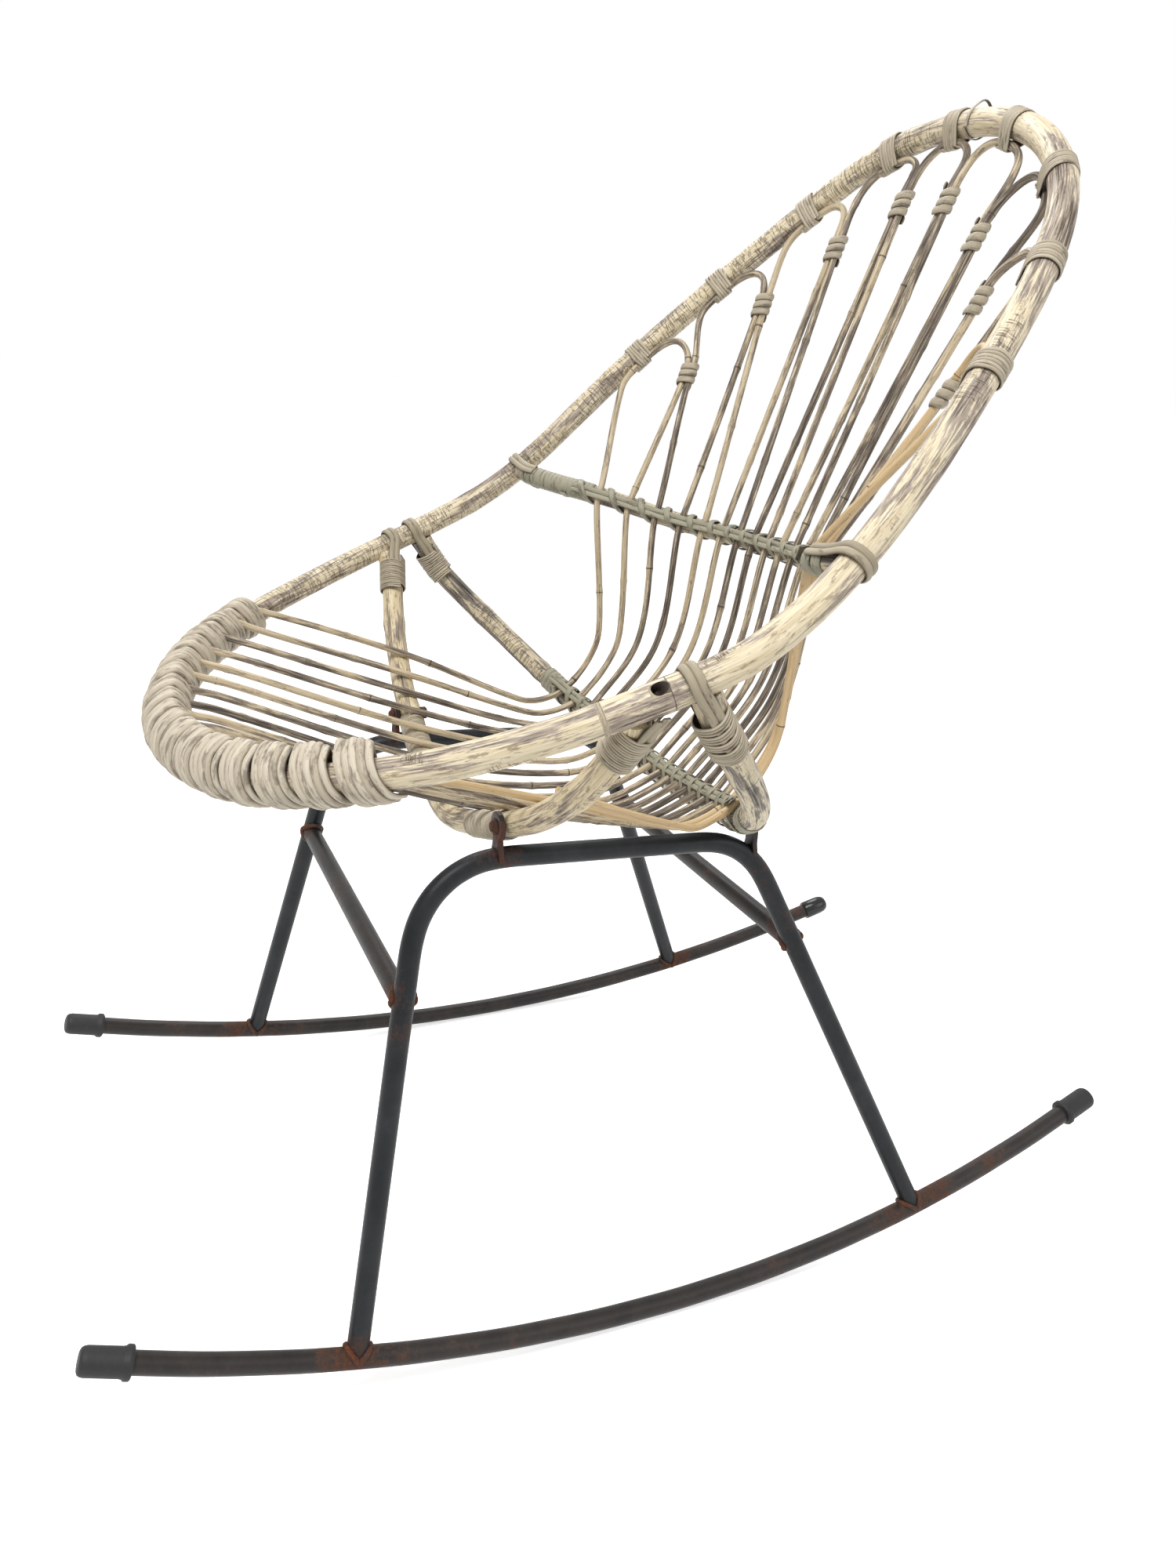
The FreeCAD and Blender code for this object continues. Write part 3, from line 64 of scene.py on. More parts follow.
def sections_in_order(node, corners, in_one_section):
    """The corner spots of a faceted CAD piece's sections, in order along each of its solids."""
    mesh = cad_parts[node].data
    spots = []
    number_of = {}
    merged = []
    for vertex in mesh.vertices:
        key = tuple(round(value * SPOTS_PER_METRE) for value in vertex.co)
        if key not in number_of:
            number_of[key] = len(spots)
            spots.append(np.array(vertex.co))
        merged.append(number_of[key])
    pairs = {tuple(sorted((merged[a], merged[b]))) for a, b in (edge.vertices for edge in mesh.edges)}
    pairs = sorted(pair for pair in pairs if pair[0] != pair[1])
    group = list(range(len(spots)))

    def root(index):
        while group[index] != index:
            index = group[index]
        return index

    for a, b in pairs:
        if in_one_section(np.linalg.norm(spots[a] - spots[b])):
            group[root(a)] = root(b)
    members = {}
    for index in range(len(spots)):
        members.setdefault(root(index), []).append(index)
    members = {key: value for key, value in members.items() if len(value) == corners}
    beside = {key: set() for key in members}
    for a, b in pairs:
        first, second = root(a), root(b)
        if first != second and first in members and second in members:
            beside[first].add(second)
            beside[second].add(first)
    chains = []
    left = set(members)
    while left:
        ends = [key for key in sorted(left) if len(beside[key] & left) <= 1] or sorted(left)
        chain = [ends[0]]
        left.discard(ends[0])
        while beside[chain[-1]] & left:
            chain.append(min(beside[chain[-1]] & left))
            left.discard(chain[-1])
        chains.append([np.array([spots[index] for index in members[key]]) for key in chain])
    return chains


def tube_centres(node, radius, corners):
    """The middles of a faceted tube's sections from end to end, past any that a hole has cut."""
    side = 2 * radius * math.sin(math.pi / corners)
    chains = sections_in_order(node, corners, lambda length: abs(length - side) < SAME_LENGTH)
    runs = [[section.mean(axis=0) for section in chain] for chain in chains]
    while len(runs) > 1:
        best = None
        for i in range(len(runs)):
            for j in range(i + 1, len(runs)):
                for first in (runs[i], runs[i][::-1]):
                    for second in (runs[j], runs[j][::-1]):
                        distance = np.linalg.norm(first[-1] - second[0])
                        if best is None or distance < best[0]:
                            best = (distance, i, j, first + second)
        _, i, j, joined = best
        runs = [run for index, run in enumerate(runs) if index not in (i, j)] + [joined]
    return runs[0]


def evenly_along(points, step):
    """Points at even steps along a bent line."""
    points = np.array(points)
    spans = np.linalg.norm(np.diff(points, axis=0), axis=1)
    travelled = np.concatenate([[0], np.cumsum(spans)])
    wanted = np.linspace(0, travelled[-1], max(2, int(round(travelled[-1] / step)) + 1))
    return np.stack([np.interp(wanted, travelled, points[:, axis]) for axis in range(3)], axis=1)


def rounded_line(points, step, spread):
    """A bent line with its corners rounded over a spread of its length, and its ends kept."""
    fine = evenly_along(points, step)
    reach = int(round(3 * spread / step))
    weights = np.exp(-0.5 * (np.arange(-reach, reach + 1) * step / spread) ** 2)
    weights = weights / weights.sum()
    before = 2 * fine[0] - fine[reach:0:-1]
    after = 2 * fine[-1] - fine[-2:-reach - 2:-1]
    padded = np.vstack([before, fine, after])
    return np.stack([np.convolve(padded[:, axis], weights, "valid") for axis in range(3)], axis=1)


def unit(vectors):
    """Directions brought to a length of one."""
    return vectors / np.linalg.norm(vectors, axis=-1, keepdims=True)


def new_piece(name, data):
    """An object of this name, put into the scene."""
    piece = bpy.data.objects.new(name, data)
    bpy.context.scene.collection.objects.link(piece)
    return piece


def line_piece(name, lines, closed=False, **vectors):
    """A piece that so far is only lines of vertices, with vectors stored at each."""
    mesh = bpy.data.meshes.new(name)
    spots = []
    edges = []
    for points in lines:
        first = len(spots)
        spots += [tuple(point) for point in points]
        edges += [(index, index + 1) for index in range(first, len(spots) - 1)]
        if closed:
            edges.append((len(spots) - 1, first))
    mesh.from_pydata(spots, edges, [])
    for key, values in vectors.items():
        attribute = mesh.attributes.new(key, "FLOAT_VECTOR", "POINT")
        attribute.data.foreach_set("vector", np.concatenate(values).astype(np.float32).ravel())
    return new_piece(name, mesh)


def new_node(tree, kind, **settings):
    """A new node with its settings."""
    node = tree.nodes.new(kind)
    for label, value in settings.items():
        setattr(node, label, value)
    return node


def add_node(kind, inputs, **settings):
    """A new node in the tree of the sockets that it is given; an input is a socket or a value."""
    tree = next(value.id_data for value in inputs.values() if isinstance(value, bpy.types.NodeSocket))
    node = new_node(tree, kind, **settings)
    for label, value in inputs.items():
        if isinstance(value, bpy.types.NodeSocket):
            tree.links.new(value, node.inputs[label])
        else:
            node.inputs[label].default_value = value
    return node


def geometry_tree(name, inputs):
    """An empty Geometry Nodes tree with the sockets of its named inputs, and its end node."""
    tree = bpy.data.node_groups.new(name, "GeometryNodeTree")
    tree.interface.new_socket("Geometry", in_out="INPUT", socket_type="NodeSocketGeometry")
    for label, value in inputs.items():
        kind = "Material" if value is None else "Int" if isinstance(value, int) else "Float"
        socket = tree.interface.new_socket(label, in_out="INPUT", socket_type="NodeSocket" + kind)
        if value is not None:
            socket.default_value = value
    tree.interface.new_socket("Geometry", in_out="OUTPUT", socket_type="NodeSocketGeometry")
    return tree, tree.nodes.new("NodeGroupInput").outputs, tree.nodes.new("NodeGroupOutput")


def maths(operation, *values):
    """A Math node's result; each value is a number or a socket."""
    return add_node("ShaderNodeMath", dict(enumerate(values)), operation=operation).outputs[0]


def times(first, *others):
    """The product of values, each a number or a socket."""
    for other in others:
        first = maths("MULTIPLY", first, other)
    return first


def plus(first, *others):
    """The sum of values, each a number or a socket."""
    for other in others:
        first = maths("ADD", first, other)
    return first


def vector_of(*parts):
    """A vector made of up to three values."""
    return add_node("ShaderNodeCombineXYZ", dict(enumerate(parts))).outputs[0]


def parts_of(vector):
    """The X, Y and Z of a vector."""
    return add_node("ShaderNodeSeparateXYZ", {0: vector}).outputs


def noise_along(place, scale, detail):
    """Noise from a single number, such as the distance along a pole."""
    inputs = {"W": place, "Scale": scale, "Detail": detail}
    return add_node("ShaderNodeTexNoise", inputs, noise_dimensions="1D").outputs["Fac"]


def capture(geometry, kind, values):
    """Takes values along with a geometry, to be used after it has changed."""
    tree = geometry.id_data
    node = new_node(tree, "GeometryNodeCaptureAttribute")
    for label, value in values.items():
        node.capture_items.new(kind, label)
        tree.links.new(value, node.inputs[label])
    tree.links.new(geometry, node.inputs["Geometry"])
    return node.outputs


def store(geometry, name, value, kind="FLOAT"):
    """Keeps a value on the mesh under a name, for the material to read."""
    inputs = {"Geometry": geometry, "Name": name, "Value": value}
    return add_node("GeometryNodeStoreNamedAttribute", inputs, data_type=kind).outputs[0]


def finish_tree(tree, given, result, geometry):
    """Smooth shading, plain geometry and the material, at the end of every tree."""
    for kind in ("GeometryNodeSetShadeSmooth", "GeometryNodeRealizeInstances"):
        geometry = add_node(kind, {"Geometry": geometry}).outputs[0]
    painted = add_node("GeometryNodeSetMaterial", {"Geometry": geometry, "Material": given["Material"]})
    tree.links.new(painted.outputs[0], result.inputs[0])
    return tree


def pole_tree():
    """A round pole along a line, a little thicker at its joints and uneven along its length."""
    tree, given, result = geometry_tree("Bent pole", {
        "Radius": 0.008, "Sides": 24, "Joint Spacing": 0.2, "Joint Rise": 0.0, "Joint Length": 0.008,
        "Unevenness": 0.0, "Seed": 0.0, "Tone": 0.5, "Material": None})
    line = add_node("GeometryNodeMeshToCurve", {"Mesh": given["Geometry"]})
    length = tree.nodes.new("GeometryNodeSplineParameter").outputs["Length"]
    spacing = given["Joint Spacing"]
    shifted = plus(length, given["Seed"])
    drift = noise_along(maths("DIVIDE", shifted, times(spacing, 2.0)), 1, 1)
    phase = plus(maths("DIVIDE", shifted, spacing), drift)
    away = times(maths("PINGPONG", phase, 0.5), spacing)
    share = maths("DIVIDE", away, given["Joint Length"])
    swelling = maths("EXPONENT", times(share, share, -1.0))
    rough = plus(noise_along(shifted, 30, 2), -0.5)
    rise = plus(times(swelling, given["Joint Rise"]), times(rough, given["Unevenness"]))
    scale = times(given["Radius"], plus(rise, 1.0))
    kept = capture(line.outputs["Curve"], "FLOAT", {"Length": shifted, "Away": away, "Scale": scale})
    circle = add_node("GeometryNodeCurvePrimitiveCircle", {"Radius": 1, "Resolution": given["Sides"]})
    position = tree.nodes.new("GeometryNodeInputPosition").outputs[0]
    rim = capture(circle.outputs["Curve"], "VECTOR", {"Place": position})
    sweep = add_node("GeometryNodeCurveToMesh", {
        "Curve": kept["Geometry"], "Profile Curve": rim["Geometry"], "Scale": kept["Scale"],
        "Fill Caps": True})
    x, y, _ = parts_of(rim["Place"])
    sides = [times(part, given["Radius"]) for part in (x, y)]
    straight = vector_of(kept["Length"], *sides)
    shaped = store(sweep.outputs["Mesh"], "straight", straight, "FLOAT_VECTOR")
    shaped = store(shaped, "joint_gap", kept["Away"])
    shaped = store(shaped, "tone", given["Tone"])
    return finish_tree(tree, given, result, shaped)


def keep_result(piece):
    """Makes what a piece's modifiers give its plain mesh."""
    bpy.context.view_layer.update()
    evaluated = piece.evaluated_get(bpy.context.evaluated_depsgraph_get())
    mesh = bpy.data.meshes.new_from_object(evaluated)
    piece.modifiers.clear()
    piece.data = mesh


def grow(piece, tree, **inputs):
    """Runs a tree on a piece and keeps the result."""
    modifier = piece.modifiers.new(tree.name, "NODES")
    modifier.node_group = tree
    for item in tree.interface.items_tree:
        if item.in_out == "INPUT" and item.name.replace(" ", "_") in inputs:
            modifier[item.identifier] = inputs[item.name.replace(" ", "_")]
    keep_result(piece)


def stands_for(piece, slot, *nodes):
    """The piece rides with the chair in place of these CAD nodes; the slot is not used."""
    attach(piece, "root")
    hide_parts(*nodes)


def shade(red, green, blue):
    """A colour as it is seen, each part from 0 to 255, as the linear values that a material takes."""
    return tuple((value / 255) ** 2.2 for value in (red, green, blue)) + (1,)


def new_material(name, roughness):
    """A new material with its node tree and its Principled shader."""
    material = bpy.data.materials.new(name)
    material.use_nodes = True
    shader = material.node_tree.nodes["Principled BSDF"]
    shader.inputs["Roughness"].default_value = roughness
    return material, material.node_tree, shader


def remap(value, low, high, start=0.0, end=1.0):
    """Stretches a value, so that low to high becomes start to end, and stops it there."""
    inputs = {"Value": value, "From Min": low, "From Max": high, "To Min": start, "To Max": end}
    return add_node("ShaderNodeMapRange", inputs).outputs["Result"]


def noise(vector, scale, detail=3.0, roughness=0.55, distortion=0.0):
    """Noise in space, with its features about 1 / scale apart."""
    inputs = {"Vector": vector, "Scale": scale, "Detail": detail, "Roughness": roughness,
              "Distortion": distortion}
    return add_node("ShaderNodeTexNoise", inputs).outputs["Fac"]


def blend_colours(share, first, second):
    """Mixes two colours, each a colour value or a socket."""
    return add_node("ShaderNodeMix", {0: share, 6: first, 7: second}, data_type="RGBA").outputs[2]


def finish_material(shader, colour, roughness, height, distance):
    """Gives a shader its colour and roughness, and bumps from a height of 0 to 1 times a distance."""
    bump = add_node("ShaderNodeBump", {"Height": height, "Distance": distance}).outputs["Normal"]
    for label, value in (("Base Color", colour), ("Roughness", roughness), ("Normal", bump)):
        shader.id_data.links.new(value, shader.inputs[label])


def mask_group(name, inputs, outputs):
    """An empty group of masks with the sockets of its inputs, all numbers, and its end node."""
    tree = bpy.data.node_groups.new(name, "ShaderNodeTree")
    for label, value in inputs.items():
        socket = tree.interface.new_socket(label, in_out="INPUT", socket_type="NodeSocketFloat")
        socket.default_value = value
    for label in outputs:
        tree.interface.new_socket(label, in_out="OUTPUT", socket_type="NodeSocketFloat")
    return tree, tree.nodes.new("NodeGroupInput").outputs, tree.nodes.new("NodeGroupOutput")


def give_masks(tree, result, **masks):
    """Connects a group's masks to its end node."""
    for label, value in masks.items():
        tree.links.new(value, result.inputs[label])
    return tree


def masks_from(tree, group, **values):
    """The masks of a group placed in a material with the material's own values."""
    node = new_node(tree, "ShaderNodeGroup", node_tree=group)
    for label, value in values.items():
        node.inputs[label.replace("_", " ")].default_value = value
    return node.outputs


def rust_group(spots):
    """Masks for old enamel on steel, rusted most near its welds."""
    tree, given, result = mask_group("Rust through enamel", {"Spread": 0.0}, ("Rusted", "Blotches", "Specks"))
    place = tree.nodes.new("ShaderNodeTexCoord").outputs["Object"]
    nearest = None
    for spot in spots:
        node = add_node("ShaderNodeVectorMath", {0: place, 1: tuple(spot)}, operation="DISTANCE")
        distance = node.outputs["Value"]
        nearest = distance if nearest is None else maths("MINIMUM", nearest, distance)
    near_weld = remap(nearest, RUST_REACH, WELD_REACH)
    blotches = noise(place, 24, 6, 0.66)
    specks = noise(place, 260, 4, 0.7)
    wear = plus(times(blotches, 0.72), times(specks, 0.36), times(near_weld, 0.17))
    rusted = remap(plus(wear, given["Spread"]), 0.61, 0.76)
    return give_masks(tree, result, Rusted=rusted, Blotches=blotches, Specks=specks)


DEEP_RUST = (70, 46, 36)


def rusty_enamel(name, enamel, bloom, rust, spread):
    """Thin old enamel over steel: dull dark paint with a grey bloom, and rust where it has gone."""
    enamel, bloom, rust, deep_rust = (shade(*colour) for colour in (enamel, bloom, rust, DEEP_RUST))
    material, tree, shader = new_material(name, 0.5)
    shader.inputs["Specular IOR Level"].default_value = 0.3
    rusted, blotches, specks = masks_from(tree, rust_through_enamel, Spread=spread)
    paint = blend_colours(remap(blotches, 0.38, 0.68), enamel, bloom)
    brown = blend_colours(remap(specks, 0.35, 0.65), deep_rust, rust)
    colour = blend_colours(rusted, paint, brown)
    height = plus(times(rusted, specks), blotches)
    finish_material(shader, colour, remap(rusted, 0, 1, 0.42, 0.85), height, 0.0004)
    return material


bent_pole = pole_tree()
tube_lines = {}


def front_to_back(name):
    """The middles of a tube's sections, from its front end to its rear end."""
    centres = tube_centres(name, TUBE_RADIUS, TUBE_CORNERS)
    return centres if centres[0][1] < centres[-1][1] else centres[::-1]


for side in ("left", "right"):
    rocker = rounded_line(front_to_back(side + "_rocker"), step=0.004, spread=0.016)
    feet = [rocker[np.argmin(abs(rocker[:, 1] - reach))] for reach in FOOT_REACHES]
    centres = front_to_back(side + "_leg_hoop")
    tube_lines[side + "_rocker"] = rocker
    legs = [feet[0]] + centres + [feet[1]]
    tube_lines[side + "_leg_hoop"] = rounded_line(legs, step=0.003, spread=0.007)
for name in ("front_cross_tube", "rear_cross_tube"):
    low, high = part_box(name)
    middle = (low + high) / 2
    ends = [(low.x, middle.y, middle.z), (high.x, middle.y, middle.z)]
    tube_lines[name] = evenly_along(ends, step=0.006)

weld_spots = []
for name in ("left_leg_hoop", "right_leg_hoop", "front_cross_tube", "rear_cross_tube"):
    weld_spots += [tube_lines[name][0], tube_lines[name][-1]]
for tabs in ("front_brackets", "rear_brackets"):
    low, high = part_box(tabs)
    for x in (low.x + TAB_HALF_WIDTH, high.x - TAB_HALF_WIDTH):
        weld_spots.append((x, (low.y + high.y) / 2, low.z + TAB_WELD_HEIGHT))
rust_through_enamel = rust_group(weld_spots)
enamelled_tube = rusty_enamel("Enamelled tube", (22, 25, 28), (40, 43, 46), (92, 58, 42), spread=-0.06)
rocker_tube = rusty_enamel("Browned tube", (38, 35, 34), (58, 52, 49), (98, 66, 48), spread=0.01)
for name, line in tube_lines.items():
    piece = line_piece("tube_" + name, [line])
    finish = enamelled_tube if "leg_hoop" in name else rocker_tube
    grow(piece, bent_pole, Radius=TUBE_RADIUS, Sides=TUBE_SIDES, Unevenness=0.004, Material=finish)
    stands_for(piece, "steel_tube", name)

# Welds
# A lumpy bead of weld metal lies round the saddle where each tube stands on another and holds the
# two together. It is bare of enamel and brown with rust.

BEAD_RADIUS = 0.0019
BEAD_POINTS = 56
BEAD_STANDOFF = 0.3
END_POINTS = 8


def saddle(seat_line, foot, direction):
    """The closed line where a tube that leaves along a direction meets the tube it stands on."""
    nearest = int(np.argmin(np.linalg.norm(seat_line - foot, axis=1)))
    inner = min(max(nearest, 1), len(seat_line) - 2)
    seat_direction = unit(seat_line[inner + 1] - seat_line[inner - 1])
    across = unit(np.cross(direction, seat_direction))
    beside = np.cross(across, direction)
    clear = TUBE_RADIUS + BEAD_RADIUS * BEAD_STANDOFF
    flat_direction = direction - seat_direction * (direction @ seat_direction)
    square = flat_direction @ flat_direction
    points = []
    for angle in np.linspace(0, 2 * math.pi, BEAD_POINTS, endpoint=False):
        ring = (across * math.cos(angle) + beside * math.sin(angle)) * clear
        flat_ring = ring - seat_direction * (ring @ seat_direction)
        mixed = flat_direction @ flat_ring
        rest = flat_ring @ flat_ring - clear ** 2
        height = (-mixed + math.sqrt(max(mixed ** 2 - square * rest, 0))) / square
        points.append(seat_line[nearest] + ring + direction * height)
    return np.array(points)


def leaving(line, end):
    """An end of a line and the direction in which the line leaves it."""
    first, later = (line[0], line[END_POINTS]) if end == 0 else (line[-1], line[-1 - END_POINTS])
    return first, unit(later - first)


foot_saddles = []
cross_saddles = []
for side in ("left", "right"):
    for end in (0, -1):
        foot = leaving(tube_lines[side + "_leg_hoop"], end)
        foot_saddles.append(saddle(tube_lines[side + "_rocker"], *foot))
for name in ("front_cross_tube", "rear_cross_tube"):
    for side, end in (("right", 0), ("left", -1)):
        cross_saddles.append(saddle(tube_lines[side + "_leg_hoop"], *leaving(tube_lines[name], end)))

bead_metal = rusty_enamel("Rusty weld", (50, 46, 46), (76, 64, 58), (112, 68, 46), spread=0.05)
for name, saddles in (("leg_weld_beads", foot_saddles), ("cross_tube_weld_beads", cross_saddles)):
    piece = line_piece("beads_" + name, saddles, closed=True)
    grow(piece, bent_pole, Radius=BEAD_RADIUS, Sides=12, Joint_Spacing=0.0034, Joint_Length=0.0014,
         Joint_Rise=0.3, Unevenness=0.5, Material=bead_metal)
    stands_for(piece, "weld_bead", name)

# Tip caps
# Black rubber caps pushed over the rocker tips. Three are matte with a flared lip, and the one at
# the right rear is a shiny domed replacement.

CAP_SIDES = 56
CAP_END_WALL = 0.006
CAP_LENGTH = 0.034
MATTE_CAP = (
    (0, 0), (0, 0.0108), (0.0008, 0.0115), (0.0040, 0.0115), (0.0052, 0.0104), (0.0070, 0.0100),
    (0.0290, 0.0099), (0.0315, 0.0094), (0.0330, 0.0084), (0.0338, 0.0068), (0.0340, 0.0040), (0.0340, 0),
)
GLOSSY_CAP_END_WALL = 0.008
GLOSSY_CAP_LENGTH = 0.030
GLOSSY_CAP = (
    (0, 0), (0, 0.0100), (0.0006, 0.0105), (0.0180, 0.0104), (0.0225, 0.0100), (0.0258, 0.0089),
    (0.0280, 0.0073), (0.0293, 0.0050), (0.0299, 0.0025), (0.0300, 0),
)


def worked_piece(name, mesh, shaped, sharp, material):
    """A worked mesh as a piece of one material, smooth but for edges over an angle in degrees."""
    bmesh.ops.recalc_face_normals(shaped, faces=shaped.faces)
    shaped.to_mesh(mesh)
    shaped.free()
    mesh.shade_smooth()
    mesh.set_sharp_from_angle(angle=math.radians(sharp))
    mesh.materials.append(material)
    mesh.polygons.foreach_set("material_index", [0] * len(mesh.polygons))
    return new_piece(name, mesh)


def turned_piece(name, profile, places, material):
    """Closed round pieces from a profile of (distance, radius), each set at a point along a direction."""
    vertices = []
    faces = []
    for point, direction in places:
        turn = Vector(direction).to_track_quat("Z", "Y").to_matrix()
        first = len(vertices)
        for distance, reach in profile:
            for index in range(CAP_SIDES):
                angle = 2 * math.pi * index / CAP_SIDES
                spot = Vector((reach * math.cos(angle), reach * math.sin(angle), distance))
                vertices.append(Vector(point) + turn @ spot)
        for row in range(len(profile) - 1):
            low = first + row * CAP_SIDES
            high = low + CAP_SIDES
            for index in range(CAP_SIDES):
                following = (index + 1) % CAP_SIDES
                faces.append((low + index, low + following, high + following, high + index))
    mesh = bpy.data.meshes.new(name)
    mesh.from_pydata(vertices, [], faces)
    shaped = bmesh.new()
    shaped.from_mesh(mesh)
    bmesh.ops.remove_doubles(shaped, verts=shaped.verts, dist=1e-6)
    return worked_piece(name, mesh, shaped, 50, material)


def rubber(name, colour, dusty, roughness):
    """Black rubber, duller where dust lies on it."""
    material, tree, shader = new_material(name, roughness)
    place = tree.nodes.new("ShaderNodeTexCoord").outputs["Object"]
    dust = noise(place, 130, 5, 0.7)
    colour = blend_colours(remap(dust, 0.45, 0.75), shade(*colour), shade(*dusty))
    dull = remap(dust, 0.3, 0.8, roughness - 0.08, roughness + 0.12)
    finish_material(shader, colour, dull, dust, 0.00015)
    return material


def cap_place(side, end, beyond_mouth):
    """Where a cap's mouth is on a rocker, and the way that the cap points."""
    point, inwards = leaving(tube_lines[side + "_rocker"], end)
    return point + inwards * beyond_mouth, -inwards


matte_rubber = rubber("Matte rubber", (27, 27, 29), (46, 45, 44), 0.62)
matte_tips = (("left", 0), ("left", -1), ("right", 0))
matte_places = [cap_place(side, end, CAP_LENGTH - CAP_END_WALL) for side, end in matte_tips]
piece = turned_piece("caps_matte", MATTE_CAP, matte_places, matte_rubber)
stands_for(piece, "cap_rubber", "matte_tip_caps")
glossy_rubber = rubber("Shiny rubber", (20, 21, 23), (34, 34, 34), 0.2)
glossy_place = cap_place("right", -1, GLOSSY_CAP_LENGTH - GLOSSY_CAP_END_WALL)
piece = turned_piece("cap_glossy", GLOSSY_CAP, [glossy_place], glossy_rubber)
stands_for(piece, "glossy_cap", "glossy_tip_cap")

# Rim
# One thick pole of peeled rattan, steamed and bent to a closed loop whose ends meet under the
# front binding. It is bare and weathered: cream skin, grey where that has worn through, split across.

RIM_RADIUS = 0.0105
RIM_CORNERS = 12
COUNTERBORE_RADIUS = 0.0045
COUNTERBORE_DEPTH = 0.007
DRILL_LENGTH = 0.013
POINTS_IN_SPAN = 12
JOINT_LINE = 0.0008


def curve_through(points, step, closed=False):
    """Evenly spaced points on a smooth curve through given ones, straightest in its longest spans."""
    points = np.array(points)
    count = len(points)
    if closed:
        points = np.vstack([points[-2:], points, points[:3]])
    spans = np.linalg.norm(np.diff(points, axis=0), axis=1)[:, None]
    slopes = np.diff(points, axis=0) / spans
    leans = (slopes[:-1] * spans[:-1] + slopes[1:] * spans[1:]) / (spans[1:] + spans[:-1])
    leans = np.vstack([2 * slopes[:1] - leans[:1], leans, 2 * slopes[-1:] - leans[-1:]])
    first, last = (2, 2 + count) if closed else (0, count - 1)
    drawn = []
    for index in range(first, last):
        late = np.linspace(0, 1, POINTS_IN_SPAN, endpoint=False)[:, None]
        rise = late ** 2 * (3 - 2 * late)
        leaving_share = late * (1 - late) ** 2
        arriving_share = late ** 2 * (late - 1)
        bend = leaving_share * leans[index] + arriving_share * leans[index + 1]
        drawn.append(points[index] * (1 - rise) + points[index + 1] * rise + bend * spans[index])
    drawn.append(points[last:last + 1])
    curve = evenly_along(np.vstack(drawn), step)
    return curve[:-1] if closed else curve


def kept_value(tree, name, output="Fac"):
    """A value that a Geometry Nodes tree has kept on the mesh."""
    return new_node(tree, "ShaderNodeAttribute", attribute_name=name).outputs[output]


def stretched(vector, along, across):
    """A place on a straightened pole, for noise that is longer along it than across."""
    inputs = {0: vector, 1: (along, across, across)}
    return add_node("ShaderNodeVectorMath", inputs, operation="MULTIPLY").outputs[0]


def weathered_pole_group():
    """Masks that follow a pole: grain, worn streaks, flecks, cracks across it and its joints."""
    tree, given, result = mask_group(
        "Weathered pole", {"Crack Share": 0.5, "Far Share": 0.0, "Crack Pitch": 330.0},
        ("Grain", "Streaks", "Flecks", "Cracks", "Joint", "Tone"))
    straight = kept_value(tree, "straight", "Vector")
    x, y, z = parts_of(straight)
    crossways = vector_of(times(x, given["Crack Pitch"]), times(y, 40.0), times(z, 40.0))
    tears = noise(crossways, 1, 2, 0.7, 0.6)
    line = remap(maths("ABSOLUTE", plus(tears, -0.5)), 0.035, 0.0)
    place = tree.nodes.new("ShaderNodeTexCoord").outputs["Object"]
    far = remap(parts_of(place)["X"], 0.04, -0.16)
    share = plus(given["Crack Share"], times(far, given["Far Share"]))
    torn_part = noise(stretched(straight, 16, 45), 1, 3, 0.6)
    least = remap(share, 0.0, 1.0, 0.85, 0.25)
    patch = remap(maths("SUBTRACT", torn_part, least), 0.0, 0.06)
    ragged = times(noise(stretched(straight, 60, 300), 1, 2), 0.0012)
    near = plus(kept_value(tree, "joint_gap"), ragged, -0.0006)
    return give_masks(
        tree, result,
        Grain=noise(stretched(straight, 30, 800), 1, 3, 0.6),
        Streaks=noise(stretched(straight, 11, 75), 1, 6, 0.7, 0.5),
        Flecks=noise(stretched(straight, 70, 380), 1, 4, 0.7, 0.3),
        Cracks=times(line, patch),
        Joint=maths("LESS_THAN", near, JOINT_LINE),
        Tone=kept_value(tree, "tone"))


def rattan(name, colours, wear, cracks, pitch=330.0, tones=0.2, far_cracks=0.0):
    """Bare peeled rattan: grained, streaked with wear, cracked across and lined at its joints."""
    light, deep, worn, torn, dark = (shade(*colour) for colour in colours)
    material, tree, shader = new_material(name, 0.55)
    masks = masks_from(tree, weathered_pole, Crack_Share=cracks, Far_Share=far_cracks, Crack_Pitch=pitch)
    tone = times(plus(masks["Tone"], -0.5), tones)
    broken = times(plus(masks["Grain"], -0.5), 0.3)
    streaks = plus(masks["Streaks"], tone, wear, broken)
    grain = remap(masks["Grain"], 0.3, 0.66)
    worn_through = times(remap(streaks, 0.51, 0.56), remap(grain, 0.0, 0.7, 0.6, 1.0))
    flecks = remap(plus(masks["Flecks"], times(tone, 0.3)), 0.56, 0.63)
    deepest = times(remap(streaks, 0.58, 0.68), remap(grain, 0.1, 0.8))
    colour = blend_colours(grain, light, deep)
    for mask, over in (
        (worn_through, worn),
        (times(flecks, 0.6), torn),
        (deepest, dark),
        (times(masks["Cracks"], 0.85), torn),
        (times(masks["Joint"], 0.85), dark),
    ):
        colour = blend_colours(mask, colour, over)
    lines = maths("MAXIMUM", masks["Cracks"], masks["Joint"])
    height = maths("SUBTRACT", times(grain, -0.25), lines)
    finish_material(shader, colour, remap(streaks, 0.5, 0.66, 0.48, 0.75), height, 0.0005)
    return material


